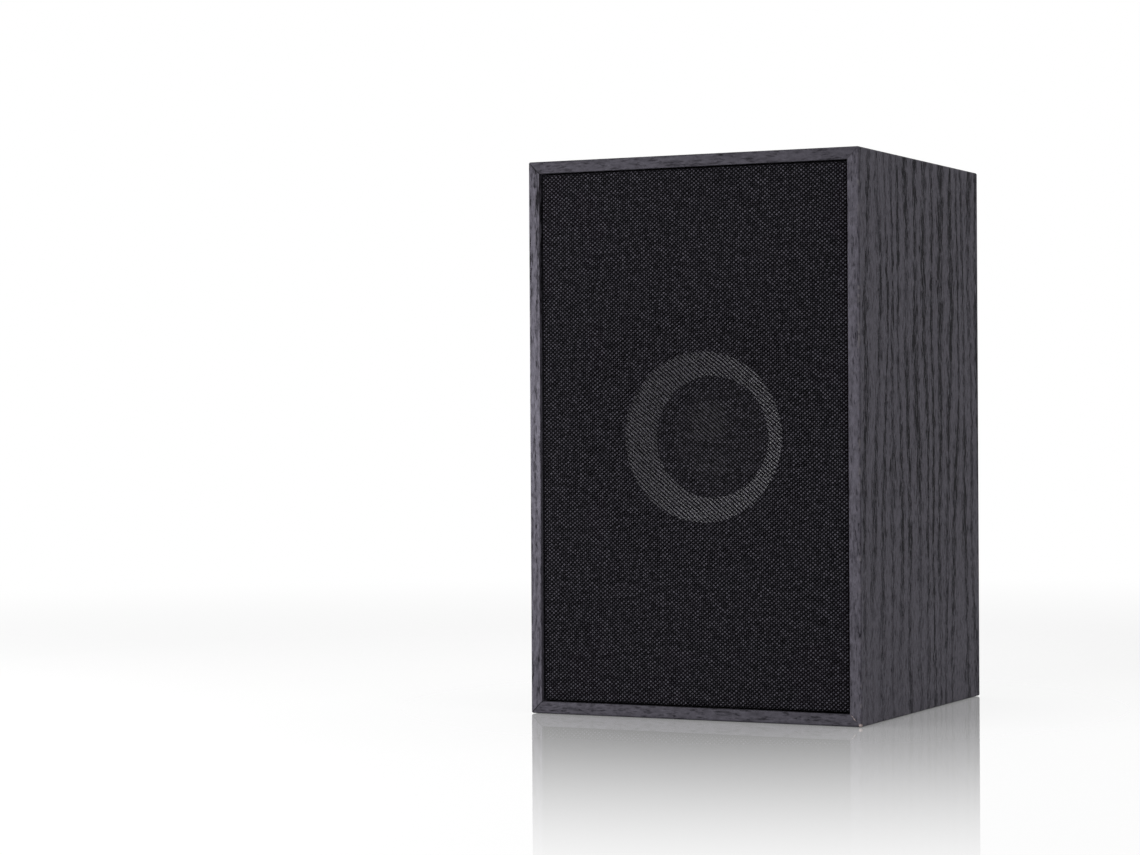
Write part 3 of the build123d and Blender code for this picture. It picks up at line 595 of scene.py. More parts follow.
def woven(name, lit_yarn, shaded_yarn, roughness):
    """Cloth yarns: painted light on the one rising to the right, painted shade on the other, both uneven in
    tone.
    """
    material, tree, shader, place = new_material(name, lit_yarn, roughness, specular=0.005)
    yarn, run, fleck = [
        node(tree, "ShaderNodeAttribute", attribute_name=kind).outputs["Fac"]
        for kind in ("yarn", "run", "fleck")
    ]
    # Painted light on the middle of each float, painted shade at its ends and on most of the falling yarn.
    float_light = map_range(tree, math_node(tree, "ABSOLUTE", run), 0.1, 0.85, 1.0, 0.0)
    along_yarn = node(tree, "ShaderNodeMapping", {"Vector": place, "Rotation": (0.0, YARN_ANGLE, 0.0)})
    grain = use_group(tree, FINE_GRAIN, {
        "Vector": scaled(tree, along_yarn.outputs[0], SLUB_STRETCH),
        "Grain Size": 0.8,
        "Drift Size": 60.0,
        "Contrast": 1.2,
        "Drift": 0.3,
    })
    share = product(tree, float_light, map_range(tree, yarn, 0.0, 1.0, SHADED_YARN_LIGHT, 1.0))
    colour = mix_colours(tree, share, (*shaded_yarn, 1), (*lit_yarn, 1))
    uneven = math_node(tree, "MULTIPLY_ADD", fleck, FLECK_CONTRAST, FLECK_BASE)
    tone = product(tree, grain["Tone"], uneven)
    tree.links.new(scaled(tree, colour, tone), shader.inputs["Base Color"])
    return material


DRIVER_HEIGHT = 117.5 * MM
SHADED_RIM_RADIUS = 55.0 * MM
RIM_BLUR = 0.5 * MM
PAINT_DEPTH = 0.03 * MM


def board_paint_and_rim_shade(name, colour, rim_shade_colour, roughness):
    """Thin black paint on the grille board, with a broad rim of painted shade round the driver's hole."""
    material, tree, shader, place = new_material(name, colour, roughness, specular=0.02)
    parts = split(tree, place)
    radius = length(tree, joined(tree, parts[0], difference(tree, parts[2], DRIVER_HEIGHT)))
    # Painted shade: the dark rim stands for a wider hole and the shade seen through it.
    outside = map_range(tree, radius, SHADED_RIM_RADIUS - RIM_BLUR, SHADED_RIM_RADIUS + RIM_BLUR)
    grain = use_group(tree, FINE_GRAIN, {"Vector": place, "Grain Size": 0.5, "Contrast": 0.3})
    paint = mix_colours(tree, outside, (*rim_shade_colour, 1), (*colour, 1))
    tree.links.new(scaled(tree, paint, grain["Tone"]), shader.inputs["Base Color"])
    bump(tree, shader, grain["Height"], PAINT_DEPTH)
    return material


UPRIGHT_GRAIN = (0.0, 0.0, 0.0)
LEVEL_GRAIN = (0.0, QUARTER, 0.0)
GOLD = (0.75, 0.55, 0.22)
COIL_AXIS = (0.0, 0.0, DRIVER_HEIGHT)

# A grained finish has a colour, a roughness, and the size and the depth of its grain in millimetres.
finishes = {
    "black_board": grained("black_board", (0.01, 0.01, 0.011), 0.55, 0.5, 0.03, specular=0.1),
    "grille_paint": board_paint_and_rim_shade("grille_paint", (0.006, 0.006, 0.007), (0.001, 0.001, 0.001), 0.8),
    "black_plastic": grained("black_plastic", (0.018, 0.018, 0.02), 0.42, 0.35, 0.02),
    "black_rubber": grained("black_rubber", (0.004, 0.004, 0.0044), 0.6, 0.6, 0.015, specular=0.06),
    "foam": grained("foam", (0.03, 0.03, 0.03), 0.85, 0.3, 0.12),
    "ring_board": grained("ring_board", (0.012, 0.012, 0.012), 0.8, 0.25, 0.05, contrast=0.5),
    "black_steel": grained("black_steel", (0.022, 0.022, 0.023), 0.36, 0.8, 0.01),
    "cone_paper": grained("cone_paper", (0.54, 0.54, 0.56), 0.7, 0.35, 0.04, contrast=0.35, drift_mm=12.0),
    "cap_gloss": grained("cap_gloss", (0.005, 0.005, 0.006), 0.2, 3.0, 0.004, spread=0.03, specular=0.34),
    "former_foil": grained("former_foil", (0.6, 0.58, 0.55), 0.35, 0.5, 0.004, metallic=1.0),
    "copper_wire": turned_metal("copper_wire", (0.6, 0.28, 0.14), 0.3, COIL_AXIS, 0.3, 0.05),
    "spider_cloth": grained("spider_cloth", (0.5, 0.38, 0.18), 0.75, 0.4, 0.08, contrast=0.5),
    "plated_steel": grained("plated_steel", (0.55, 0.54, 0.5), 0.36, 1.2, 0.006, metallic=1.0),
    "ferrite": grained("ferrite", (0.05, 0.05, 0.055), 0.7, 0.3, 0.03),
    "fibre_board": grained("fibre_board", (0.25, 0.13, 0.06), 0.75, 0.3, 0.03, contrast=0.5),
    "tinned_brass": grained("tinned_brass", (0.62, 0.6, 0.55), 0.32, 0.8, 0.005, metallic=1.0),
    "red_plastic": grained("red_plastic", (0.45, 0.02, 0.02), 0.28, 0.6, 0.006),
    "knob_black": grained("knob_black", (0.016, 0.016, 0.017), 0.3, 0.6, 0.006),
    "red_pvc": grained("red_pvc", (0.5, 0.03, 0.03), 0.4, 0.5, 0.01),
    "black_pvc": grained("black_pvc", (0.02, 0.02, 0.02), 0.4, 0.5, 0.01),
    "clear_nylon": grained("clear_nylon", (0.7, 0.68, 0.62), 0.4, 0.8, 0.01),
    "screw_black": grained("screw_black", (0.02, 0.02, 0.021), 0.34, 0.5, 0.008),
    "wadding": grained("wadding", (0.75, 0.75, 0.72), 0.95, 0.7, 0.5, contrast=0.3),
    "tinsel_wire": grained("tinsel_wire", (0.62, 0.45, 0.3), 0.45, 0.25, 0.03, contrast=0.7, metallic=1.0),
    # Yarn colours: the first with painted light, the second with painted shade.
    "grille_cloth": woven("grille_cloth", (0.067, 0.063, 0.076), (0.002, 0.0019, 0.0024), 0.6),
}
# Each panel's factors paint light and shade on it, by how light falls on that panel.
panel_vinyl = {
    "top_panel": vinyl(
        "vinyl_top", LEVEL_GRAIN, (0.0, 0.31, 0.2), painted_panel_light=0.66, lip_share=0.25, painted_lip_light=0.96,
    ),
    "bottom_panel": vinyl(
        "vinyl_bottom", LEVEL_GRAIN, (0.4, 0.1, 0.7), painted_panel_light=0.72, lip_share=0.25, painted_lip_light=0.98,
    ),
    "left_panel": vinyl(
        "vinyl_left", UPRIGHT_GRAIN, (0.7, 0.2, 0.1), painted_panel_light=0.98, lip_share=0.55, painted_lip_light=0.95,
    ),
    "right_panel": vinyl(
        "vinyl_right", UPRIGHT_GRAIN, (0.13, 0.57, 0.3), painted_panel_light=1.1, lip_share=0.45, painted_lip_light=0.82,
        low_share=0.45, front_share=0.8, rear_share=1.35,
    ),
}


def dress(name, material):
    slots = cad_nodes[name].data.materials
    slots.clear()
    slots.append(material)


# Nodes whose finish isn't that of their slot in the record
own_finishes = {
    "back_panel": "black_board",
    "grille_frame": "grille_paint",
    "red_post_collar": "black_plastic",
    "black_post_collar": "black_plastic",
    "post_nuts": "plated_steel",
}
for part in frame["record"]["subparts"]:
    finish = own_finishes.get(part["node"], part["material_slot"])
    if finish in finishes:
        dress(part["node"], finishes[finish])
for name, material in panel_vinyl.items():
    dress(name, material)
for colour in ("red", "black"):
    low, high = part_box(colour + "_post")
    axis_place = ((low.x + high.x) / 2, 0.0, (low.z + high.z) / 2)
    gold = turned_metal(colour + "_post_gold", GOLD, 0.24, axis_place)
    for part in ("_post", "_clamp_washer", "_knob_insert"):
        dress(colour + part, gold)


# Meshes and pieces

def add_piece(name, mesh, material, body=None, replaces=()):
    """A finished mesh as a piece of the object."""
    mesh.materials.clear()
    mesh.materials.append(material)
    piece = new_object(name, mesh)
    if body:
        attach(piece, body)
    if replaces:
        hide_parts(*replaces)
    return piece


def baked_mesh(name, maker):
    """The plain mesh of a curve or of an object with modifiers. The object itself is removed."""
    graph = bpy.context.evaluated_depsgraph_get()
    mesh = bpy.data.meshes.new_from_object(maker.evaluated_get(graph))
    mesh.name = name
    bpy.data.objects.remove(maker)
    return mesh


def vertex_places(mesh):
    places = np.empty(len(mesh.vertices) * 3, np.float32)
    mesh.vertices.foreach_get("co", places)
    return places.reshape(-1, 3)


def place_vertices(mesh, places):
    mesh.vertices.foreach_set("co", places.astype(np.float32).ravel())


def outward_mesh(name, points, faces):
    """A smooth mesh whose faces all point outwards."""
    mesh = bpy.data.meshes.new(name)
    mesh.from_pydata(points.tolist(), [], faces.tolist())
    shape = bmesh.new()
    shape.from_mesh(mesh)
    bmesh.ops.recalc_face_normals(shape, faces=shape.faces)
    shape.to_mesh(mesh)
    shape.free()
    mesh.shade_smooth()
    return mesh


# Grille cloth: a net of strands stretched over the board and folded round its edges

HOLE_SHARE = 0.5
STRAND_RISE = 0.3 * MM
STRAND_WANDER = 0.1 * MM
STRAND_DRIFT = 0.6 * MM
DRIFT_SPAN = 10.0 * MM
DRIFT_FADE = 6.0 * MM
WELD_DISTANCE = 0.04 * MM
WEAVE_SEED = 7
FIRST_RISING_STRAND = 1000.0
FIRST_FALLING_STRAND = 3000.0
STRAND_STEP = 977.0
CLOTH_RETURN = 7.0 * MM
FOLD_RADIUS = 1.0 * MM
WEAVE_SIZES = (
    "Width", "Height", "Pitch Across", "Pitch Up", "Hole Share", "Strand Rise", "Fold Width", "Fold Height",
    "Edge Depth", "Wander", "Drift", "Drift Span",
)
cloth_low, cloth_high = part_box("grille_cloth")


def store(tree, geometry, name, value, domain):
    inputs = {"Geometry": geometry, "Name": name, "Value": value}
    settings = {"data_type": "FLOAT", "domain": domain}
    return node(tree, "GeometryNodeStoreNamedAttribute", inputs, **settings).outputs[0]


def delete(tree, geometry, selection, domain):
    inputs = {"Geometry": geometry, "Selection": selection}
    return node(tree, "GeometryNodeDeleteGeometry", inputs, domain=domain).outputs[0]


def shifted(tree, geometry, offset):
    inputs = {"Geometry": geometry, "Offset": offset}
    return node(tree, "GeometryNodeSetPosition", inputs).outputs[0]


def chance(tree, number):
    """A random value from 0 to 1 for each number, the same on every run."""
    inputs = {"ID": number, "Seed": WEAVE_SEED}
    return node(tree, "FunctionNodeRandomValue", inputs, data_type="FLOAT").outputs[1]


def float_tone(tree, across_yarn, along_yarn, first_number):
    """An uneven tone for the floats of one yarn: a light one of two steps is followed by a dark one."""
    strand = total(tree, math_node(tree, "FLOOR", across_yarn), first_number)
    step = math_node(tree, "FLOOR", total(tree, along_yarn, 0.5))
    stagger = math_node(tree, "FLOOR", product(tree, chance(tree, strand), 4.0))
    fours = quotient(tree, total(tree, step, stagger), 4.0)
    number = math_node(tree, "MULTIPLY_ADD", strand, STRAND_STEP, math_node(tree, "FLOOR", fours))
    follows = math_node(tree, "GREATER_THAN", math_node(tree, "FRACT", fours), 0.4)
    return math_node(tree, "ABSOLUTE", difference(tree, follows, chance(tree, number)))


def weave_diamond(tree, given, spot):
    """One diamond of the net with its hole. Its sides know their yarn, and its crossings stand higher."""
    cell = node(tree, "GeometryNodeMeshCircle", {"Vertices": 4, "Radius": 1.0}, fill_type="NGON").outputs[0]
    inner = node(tree, "GeometryNodeExtrudeMesh", {"Mesh": cell, "Offset Scale": 0.0}, mode="FACES").outputs
    inputs = {"Geometry": inner["Mesh"], "Selection": inner["Top"], "Scale": given["Hole Share"]}
    shrunk = node(tree, "GeometryNodeScaleElements", inputs, domain="FACE").outputs[0]
    holed = delete(tree, shrunk, inner["Top"], "FACE")
    ways = split(tree, spot)
    rising = math_node(tree, "LESS_THAN", product(tree, ways[0], ways[1]), 0.0)
    rising = node(tree, "GeometryNodeFieldOnDomain", {0: rising}, data_type="FLOAT", domain="FACE").outputs[0]
    lean = map_range(tree, rising, 0.0, 1.0, -1.0, 1.0)
    run = math_node(tree, "MULTIPLY_ADD", ways[1], lean, ways[0])
    marked = store(tree, holed, "yarn", rising, "FACE")
    marked = store(tree, marked, "run", run, "CORNER")
    crossing = math_node(tree, "GREATER_THAN", length(tree, spot), 0.95)
    raised = shifted(tree, marked, joined(tree, z=product(tree, crossing, given["Strand Rise"])))
    size = joined(tree, product(tree, given["Pitch Across"], 0.5), product(tree, given["Pitch Up"], 0.5), 1.0)
    return node(tree, "GeometryNodeTransform", {"Geometry": raised, "Scale": size}).outputs[0]


def weave_rows(tree, given, across, up):
    """The middles of the diamonds: a grid of points, and a second one between its rows and columns."""
    rows = tree.nodes.new("GeometryNodeJoinGeometry")
    for extra in (1.0, 0.0):
        columns = total(tree, across, extra)
        lines = total(tree, up, extra)
        grid = node(tree, "GeometryNodeMeshGrid", {
            "Size X": product(tree, difference(tree, columns, 1.0), given["Pitch Across"]),
            "Size Y": product(tree, difference(tree, lines, 1.0), given["Pitch Up"]),
            "Vertices X": columns,
            "Vertices Y": lines,
        })
        tree.links.new(grid.outputs["Mesh"], rows.inputs[0])
    return rows.outputs[0]


def cut_corners(tree, given, past_side, past_end):
    """1 where the flat cloth is cut away, so that it folds round the corners and is mitred behind them."""
    corner = math_node(tree, "GREATER_THAN", math_node(tree, "MINIMUM", past_side, past_end), 0.0)
    turned_side = difference(tree, past_side, given["Edge Depth"])
    turned_end = difference(tree, past_end, given["Edge Depth"])
    for turned_in, other in ((turned_side, past_end), (turned_end, past_side)):
        past_mitre = math_node(tree, "GREATER_THAN", total(tree, turned_in, other), 0.0)
        inside = math_node(tree, "GREATER_THAN", turned_in, 0.0)
        corner = math_node(tree, "MAXIMUM", corner, product(tree, past_mitre, inside))
    return corner


def fleck_tones(tree, given, parts, across, up):
    """The uneven tone of each float, from its strand and its step along the strand."""
    shift = math_node(tree, "FRACT", product(tree, total(tree, across, up), 0.5))
    column = quotient(tree, parts[0], given["Pitch Across"])
    line = quotient(tree, parts[1], given["Pitch Up"])
    falling_place = total(tree, total(tree, column, line), shift)
    rising_place = total(tree, difference(tree, column, line), shift)
    rising_tone = float_tone(tree, rising_place, falling_place, FIRST_RISING_STRAND)
    falling_tone = float_tone(tree, falling_place, rising_place, FIRST_FALLING_STRAND)
    yarn = node(tree, "GeometryNodeInputNamedAttribute", {"Name": "yarn"}, data_type="FLOAT").outputs[0]
    return map_range(tree, yarn, 0.0, 1.0, falling_tone, rising_tone)


def looseness(tree, given, spot, past_edge):
    """How far each point strays: a little by itself, and with its neighbours in swirls inside the folds."""
    inputs = {
        0: scaled(tree, (-1, -1, -0.5), given["Wander"]),
        1: scaled(tree, (1, 1, 0.5), given["Wander"]),
        "Seed": WEAVE_SEED,
    }
    wander = node(tree, "FunctionNodeRandomValue", inputs, data_type="FLOAT_VECTOR").outputs[0]
    fine = quotient(tree, 1.0, given["Drift Span"])
    swirl = node(tree, "ShaderNodeTexNoise", {"Vector": spot, "Scale": fine, "Detail": 1.0}).outputs["Color"]
    swirl = vector_node(tree, "SUBTRACT", swirl, (0.5, 0.5, 0.5))
    pull = product(tree, map_range(tree, past_edge, -DRIFT_FADE, 0.0, 2.0, 0.0), given["Drift"])
    drift = scaled(tree, swirl, joined(tree, pull, pull))
    return vector_node(tree, "ADD", wander, drift)


def weave_tree():
    """Geometry nodes that lay out a flat net of diamond holes in staggered rows."""
    tree = bpy.data.node_groups.new("diamond_net", "GeometryNodeTree")
    for name in WEAVE_SIZES:
        tree.interface.new_socket(name, in_out="INPUT", socket_type="NodeSocketFloat")
    tree.interface.new_socket("Material", in_out="INPUT", socket_type="NodeSocketMaterial")
    tree.interface.new_socket("Geometry", in_out="OUTPUT", socket_type="NodeSocketGeometry")
    given = tree.nodes.new("NodeGroupInput").outputs
    spot = tree.nodes.new("GeometryNodeInputPosition").outputs[0]
    parts = split(tree, spot)
    across = math_node(tree, "FLOOR", quotient(tree, given["Width"], given["Pitch Across"]))
    up = math_node(tree, "FLOOR", quotient(tree, given["Height"], given["Pitch Up"]))
    past_side = difference(tree, math_node(tree, "ABSOLUTE", parts[0]), given["Fold Width"])
    past_end = difference(tree, math_node(tree, "ABSOLUTE", parts[1]), given["Fold Height"])
    past_edge = math_node(tree, "MAXIMUM", past_side, past_end)
    corners = cut_corners(tree, given, past_side, past_end)
    middles = delete(tree, weave_rows(tree, given, across, up), corners, "POINT")
    diamond = weave_diamond(tree, given, spot)
    copies = node(tree, "GeometryNodeInstanceOnPoints", {"Points": middles, "Instance": diamond})
    real = node(tree, "GeometryNodeRealizeInstances", {"Geometry": copies.outputs[0]})
    weld = {"Geometry": real.outputs[0], "Distance": WELD_DISTANCE}
    welded = node(tree, "GeometryNodeMergeByDistance", weld).outputs[0]
    flecked = store(tree, welded, "fleck", fleck_tones(tree, given, parts, across, up), "FACE")
    loose = shifted(tree, flecked, looseness(tree, given, spot, past_edge))
    smooth = node(tree, "GeometryNodeSetShadeSmooth", {"Geometry": loose})
    inputs = {"Geometry": smooth.outputs[0], "Material": given["Material"]}
    output = tree.nodes.new("NodeGroupOutput")
    tree.links.new(node(tree, "GeometryNodeSetMaterial", inputs).outputs[0], output.inputs[0])
    return tree


def mesh_from_tree(name, tree, values):
    """The plain mesh that a geometry node tree makes with these inputs."""
    maker = new_object(name + "_maker", bpy.data.meshes.new(name + "_maker"))
    modifier = maker.modifiers.new(name, "NODES")
    modifier.node_group = tree
    for item in tree.interface.items_tree:
        if item.in_out == "INPUT":
            modifier[item.identifier] = values[item.name]
    return baked_mesh(name, maker)


def folded(run, half, depth, radius):
    """A point of the flat cloth, folded round an edge of the board and again behind it.

    Gives its place across, how far back it is, and the angle that the cloth has turned through there.
    """
    start = half - radius
    past = np.maximum(np.abs(run) - start, 0.0)
    first = np.clip(past / radius, 0.0, QUARTER)
    side = np.clip(past - radius * QUARTER, 0.0, depth - 2 * radius)
    second = np.clip((past - radius * QUARTER - (depth - 2 * radius)) / radius, 0.0, QUARTER)
    inward = np.maximum(past - 2 * radius * QUARTER - (depth - 2 * radius), 0.0)
    across = np.minimum(np.abs(run), start) + radius * np.sin(first) - radius * (1 - np.cos(second)) - inward
    back = radius * (1 - np.cos(first)) + side + radius * np.sin(second)
    return np.sign(run) * across, back, first + second


def wrap_cloth(mesh, half_x, half_z, centre_z, front, depth, radius):
    """Folds the flat net over the board: X and Y of the flat net become X and Z."""
    flat = vertex_places(mesh).astype(float)
    x, back_x, turn_x = folded(flat[:, 0], half_x, depth, radius)
    z, back_z, turn_z = folded(flat[:, 1], half_z, depth, radius)
    outward = np.stack([
        np.sign(flat[:, 0]) * np.sin(turn_x),
        -np.cos(np.maximum(turn_x, turn_z)),
        np.sign(flat[:, 1]) * np.sin(turn_z),
    ], axis=1)
    outward /= np.linalg.norm(outward, axis=1, keepdims=True)
    base = np.stack([x, front + np.maximum(back_x, back_z), z + centre_z], axis=1)
    place_vertices(mesh, base + outward * flat[:, 2:3])
    mesh.update()


def add_grille_cloth():
    half_x = (cloth_high.x - cloth_low.x) / 2 - STRAND_RISE
    half_z = (cloth_high.z - cloth_low.z) / 2 - STRAND_RISE
    centre_z = (cloth_high.z + cloth_low.z) / 2
    front = cloth_low.y + STRAND_RISE
    depth = cloth_high.y - STRAND_RISE - front
    edge_run = depth + 2 * FOLD_RADIUS * (QUARTER - 1)
    reach = edge_run - FOLD_RADIUS + CLOTH_RETURN
    values = {
        "Width": 2 * (half_x + reach),
        "Height": 2 * (half_z + reach),
        "Pitch Across": STRAND_ACROSS,
        "Pitch Up": STRAND_UP,
        "Hole Share": HOLE_SHARE,
        "Strand Rise": STRAND_RISE,
        "Wander": STRAND_WANDER,
        "Drift": STRAND_DRIFT,
        "Drift Span": DRIFT_SPAN,
        "Fold Width": half_x - 0.4 * FOLD_RADIUS,
        "Fold Height": half_z - 0.4 * FOLD_RADIUS,
        "Edge Depth": edge_run - 0.6 * FOLD_RADIUS,
        "Material": finishes["grille_cloth"],
    }
    mesh = mesh_from_tree("cloth_weave", weave_tree(), values)
    wrap_cloth(mesh, half_x, half_z, centre_z, front, depth, FOLD_RADIUS)
    finish = finishes["grille_cloth"]
    piece = add_piece("cloth_weave", mesh, finish, "grille", ["grille_cloth"])


add_grille_cloth()


# Drive unit: a rolled edge and a corrugated disc between the basket and the cone.
# Radii, and depths behind the front of the cabinet, are in millimetres.

FRONT = cad_low.y
TURN_STEPS = 144
ROLL_STEPS = 18
WAVE_STEPS = 8


def arc(start, through, end, steps):
    """Points of the arc through three points, without its last one."""
    (ax, ay), (bx, by), (cx, cy) = start, through, end
    double_area = 2 * (ax * (by - cy) + bx * (cy - ay) + cx * (ay - by))
    a, b, c = ax * ax + ay * ay, bx * bx + by * by, cx * cx + cy * cy
    middle_x = (a * (by - cy) + b * (cy - ay) + c * (ay - by)) / double_area
    middle_y = (a * (cx - bx) + b * (ax - cx) + c * (bx - ax)) / double_area
    radius = math.hypot(ax - middle_x, ay - middle_y)
    turns = [math.atan2(y - middle_y, x - middle_x) for x, y in (start, through, end)]
    sweep = (turns[2] - turns[0]) % WHOLE_TURN
    if (turns[1] - turns[0]) % WHOLE_TURN > sweep:
        sweep -= WHOLE_TURN
    angles = [turns[0] + sweep * step / steps for step in range(steps)]
    return [(middle_x + radius * math.cos(t), middle_y + radius * math.sin(t)) for t in angles]


def turned_mesh(name, profile):
    """A closed profile of radii and depths, turned round the driver's axis."""
    radius, depth = np.array(profile).T * MM
    angles = np.linspace(0.0, WHOLE_TURN, TURN_STEPS, endpoint=False)
    x = np.outer(np.sin(angles), radius)
    y = np.tile(depth + FRONT, (TURN_STEPS, 1))
    z = np.outer(np.cos(angles), radius) + DRIVER_HEIGHT
    points = np.stack([x, y, z], axis=-1).reshape(-1, 3)
    count = len(profile)
    index = np.arange(TURN_STEPS * count).reshape(TURN_STEPS, count)
    after = np.roll(index, -1, axis=1)
    beside = np.roll(index, -1, axis=0)
    corner = np.roll(beside, -1, axis=1)
    faces = np.stack([index, after, corner, beside], axis=-1).reshape(-1, 4)
    return outward_mesh(name, points, faces)


def flex(piece, runs):
    """Bakes a piece's placing into its mesh, with its runs laid along X while that is done, then puts its
    points back.
    """
    places = vertex_places(piece.data)
    laid_out = np.zeros(places.shape)
    laid_out[:, 0] = runs
    place_vertices(piece.data, laid_out)
    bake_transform(piece)
    place_vertices(piece.data, places)
    piece.data.update()


def radii(mesh):
    places = vertex_places(mesh)
    return np.hypot(places[:, 0], places[:, 2] - DRIVER_HEIGHT)


FLANGE_LIP_RADIUS = 50.4
ROLL_OUTER_RADIUS = 47.9
ROLL_INNER_RADIUS = 38.9
CONE_LIP_RADIUS = 35.9
FLANGE_DEPTH = 10.0
CREST_DEPTH = 6.2
CONE_RIM_DEPTH = 12.2
RUBBER_THICKNESS = 0.5


def roll_line(inset):
    """The line of the surround from the flange to the cone, inset from its front face."""
    flange = FLANGE_DEPTH + inset
    rim = CONE_RIM_DEPTH + inset
    outer = (ROLL_OUTER_RADIUS - inset, flange)
    crest = ((ROLL_OUTER_RADIUS + ROLL_INNER_RADIUS) / 2, CREST_DEPTH + inset)
    inner = (ROLL_INNER_RADIUS + inset, rim)
    roll = arc(outer, crest, inner, ROLL_STEPS)
    return [(FLANGE_LIP_RADIUS, flange)] + roll + [inner, (CONE_LIP_RADIUS, rim)]


def add_surround():
    """A rubber half roll with flat lips on the flange and on the cone's rim."""
    mesh = turned_mesh("surround_roll", roll_line(0.0) + roll_line(RUBBER_THICKNESS)[::-1])
    piece = add_piece("surround_roll", mesh, finishes["black_rubber"], None, ["surround"])
    flex(piece, radii(mesh))


SPIDER_BORE_RADIUS = 12.75
SPIDER_COLLAR_RADIUS = 13.55
SPIDER_WAVES_RADIUS = 31.0
SPIDER_RADIUS = 37.0
SPIDER_DEPTH = 38.461
SPIDER_THICKNESS = 0.5
SPIDER_WAVES = 6
SPIDER_BOW = 1.3


def add_spider():
    """A corrugated cloth disc between the coil former and the basket's ledge."""
    step = (SPIDER_WAVES_RADIUS - SPIDER_COLLAR_RADIUS) / SPIDER_WAVES
    line = [(SPIDER_BORE_RADIUS, SPIDER_DEPTH)]
    for wave in range(SPIDER_WAVES):
        start = SPIDER_COLLAR_RADIUS + wave * step
        bow = SPIDER_BOW if wave % 2 == 0 else -SPIDER_BOW
        crest = (start + step / 2, SPIDER_DEPTH + bow)
        line += arc((start, SPIDER_DEPTH), crest, (start + step, SPIDER_DEPTH), WAVE_STEPS)
    line += [(SPIDER_WAVES_RADIUS, SPIDER_DEPTH), (SPIDER_RADIUS, SPIDER_DEPTH)]
    back = [(radius, depth + SPIDER_THICKNESS) for radius, depth in reversed(line)]
    mesh = turned_mesh("spider_disc", line + back)
    piece = add_piece("spider_disc", mesh, finishes["spider_cloth"], None, ["spider"])
    flex(piece, radii(mesh))


def route_curve(name, points, radius):
    """A round cord on one smooth NURBS line, whose control points are (x, depth, height) in millimetres."""
    curve = bpy.data.curves.new(name, "CURVE")
    curve.dimensions = "3D"
    curve.bevel_depth = radius
    curve.bevel_resolution = 5
    curve.use_fill_caps = True
    spline = curve.splines.new("NURBS")
    spline.points.add(len(points) - 1)
    for place, (x, depth, height) in zip(spline.points, points):
        place.co = (x * MM, depth * MM + FRONT, height * MM, 1.0)
    spline.order_u = 3
    spline.use_endpoint_u = True
    spline.resolution_u = 24
    return curve


# Depth and height of each control point of a lead
LEAD_PLACES = [(26.36, 95.33), (30.73, 91.22), (32.93, 75.7), (39.56, 75.7)]
LEAD_RADIUS = 0.5 * MM
TAG_X = 6.0


def add_tinsel_leads():
    """Two limp leads from behind the cone to the eyelets of the tag board."""
    pieces = []
    for side, x in (("red", -TAG_X), ("black", TAG_X)):
        name = side + "_tinsel_lead"
        curve = route_curve(name, [(x, depth, height) for depth, height in LEAD_PLACES], LEAD_RADIUS)
        mesh = baked_mesh(name, new_object(name + "_maker", curve))
        mesh.shade_smooth()
        piece = add_piece(name, mesh, finishes["tinsel_wire"], None)
        depths = np.array([point.co.y for point in mesh.vertices]) - FRONT
        flex(piece, depths)
        pieces.append(piece)
    for piece in pieces:
        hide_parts("tinsel_leads")


WIRE_RADIUS = 1.0 * MM
POST_X = 9.5
CONNECTOR_HEIGHT = 72.55
LUG_HEIGHT = 63.5


def add_hookup_wires():
    """Insulated wires from the push-on connectors to the lugs of the binding posts."""
    for colour, way in (("red", -1), ("black", 1)):
        points = [
            (way * TAG_X, 53.66, CONNECTOR_HEIGHT),
            (way * TAG_X, 72.66, CONNECTOR_HEIGHT),
            (way * POST_X, 98.7, LUG_HEIGHT),
            (way * POST_X, 117.7, LUG_HEIGHT),
        ]
        curve = route_curve(colour + "_hookup_wire", points, WIRE_RADIUS)
        slot = colour + "_pvc"
        curve.materials.append(finishes[slot])
        piece = new_object(colour + "_hookup_wire", curve)
        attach(piece, "cabinet")
        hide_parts(colour + "_wire")


add_surround()
add_spider()
add_tinsel_leads()
add_hookup_wires()


# Damping wadding round the inside of the cabinet

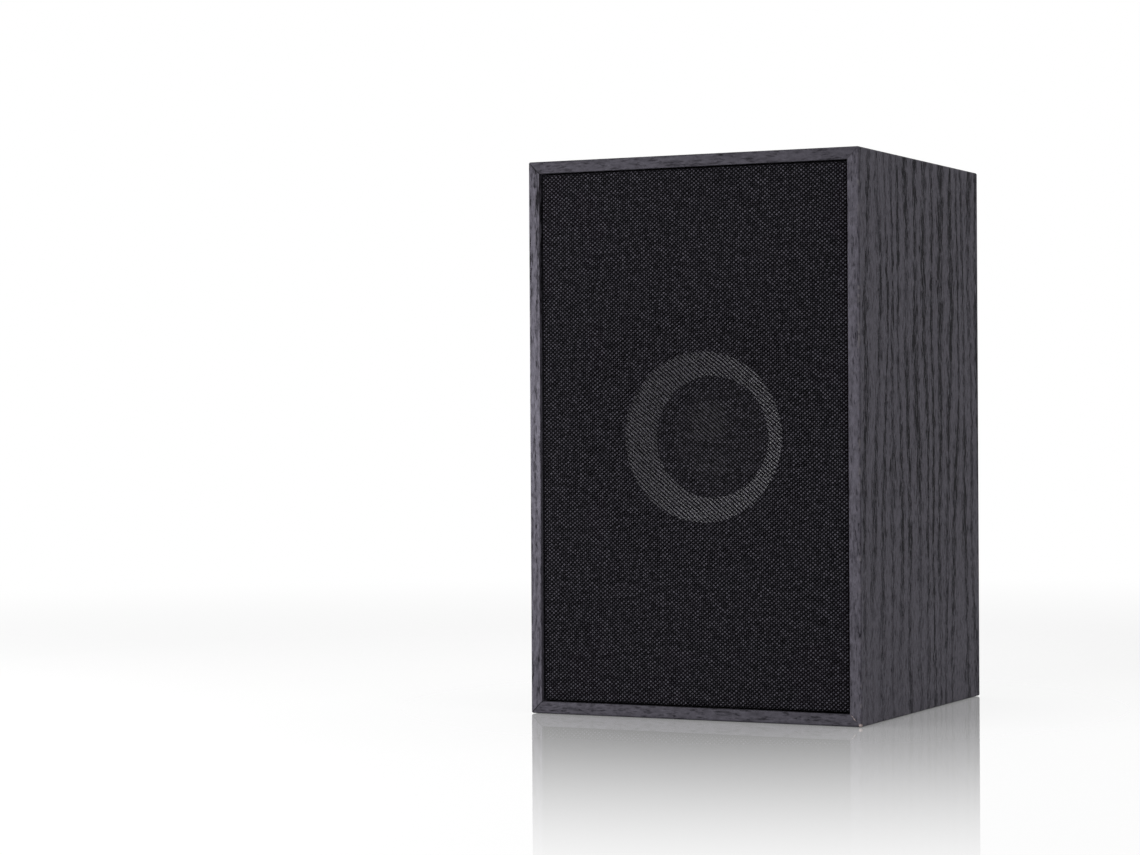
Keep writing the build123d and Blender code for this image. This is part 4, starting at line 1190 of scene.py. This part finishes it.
PAD_THICKNESS = 12.0 * MM
PAD_ROUND = 8.0 * MM
PAD_ROUND_STEPS = 6
PAD_SKIN = 0.6 * MM
PAD_VOXEL = 3.0 * MM
PAD_SMOOTHING = 6
PAD_TUFT = 2.2 * MM
PAD_TUFT_SPAN = 14.0 * MM
PAD_TUFT_MIDDLE = 0.62
pad_low, pad_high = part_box("damping_pad")


def pad_outline(half, top, bottom, radius):
    """The outer or inner line of the lining, from the foot of one leg over the top to the other foot."""
    line = [(-half, bottom)]
    for middle_x, first in ((-half + radius, math.pi), (half - radius, QUARTER)):
        for step in range(PAD_ROUND_STEPS + 1):
            angle = first - QUARTER * step / PAD_ROUND_STEPS
            line.append((middle_x + radius * math.cos(angle), top - radius + radius * math.sin(angle)))
    line.append((half, bottom))
    return line


def add_damping_pad():
    """A folded pad of wadding, soft at its edges and lumpy all over."""
    half = pad_high.x - PAD_SKIN
    top = pad_high.z - PAD_SKIN
    bottom = pad_low.z + PAD_SKIN
    thick = PAD_THICKNESS - 2 * PAD_SKIN
    outer = pad_outline(half, top, bottom, PAD_ROUND)
    inner = pad_outline(half - thick, top - thick, bottom, PAD_ROUND)
    loop = outer + inner[::-1]
    count = len(loop)
    points = [(x, y, z) for y in (pad_low.y + PAD_SKIN, pad_high.y - PAD_SKIN) for x, z in loop]
    faces = [(i, (i + 1) % count, (i + 1) % count + count, i + count) for i in range(count)]
    for shift in (0, count):
        for i in range(len(outer) - 1):
            faces.append((shift + i, shift + i + 1, shift + count - 2 - i, shift + count - 1 - i))
    mesh = outward_mesh("wadding_lining", np.array(points), np.array(faces))
    maker = new_object("wadding_maker", mesh)
    remesh = maker.modifiers.new("even", "REMESH")
    remesh.mode = "VOXEL"
    remesh.voxel_size = PAD_VOXEL
    soften = maker.modifiers.new("soften", "SMOOTH")
    soften.factor = 0.5
    soften.iterations = PAD_SMOOTHING
    tufts = bpy.data.textures.new("tufts", "CLOUDS")
    tufts.noise_scale = PAD_TUFT_SPAN
    tufts.noise_depth = 3
    lumps = maker.modifiers.new("lumps", "DISPLACE")
    lumps.texture = tufts
    lumps.strength = PAD_TUFT
    lumps.mid_level = PAD_TUFT_MIDDLE
    soft = baked_mesh("wadding_lining", maker)
    soft.shade_smooth()
    piece = add_piece("wadding_lining", soft, finishes["wadding"], "cabinet", ["damping_pad"])


add_damping_pad()
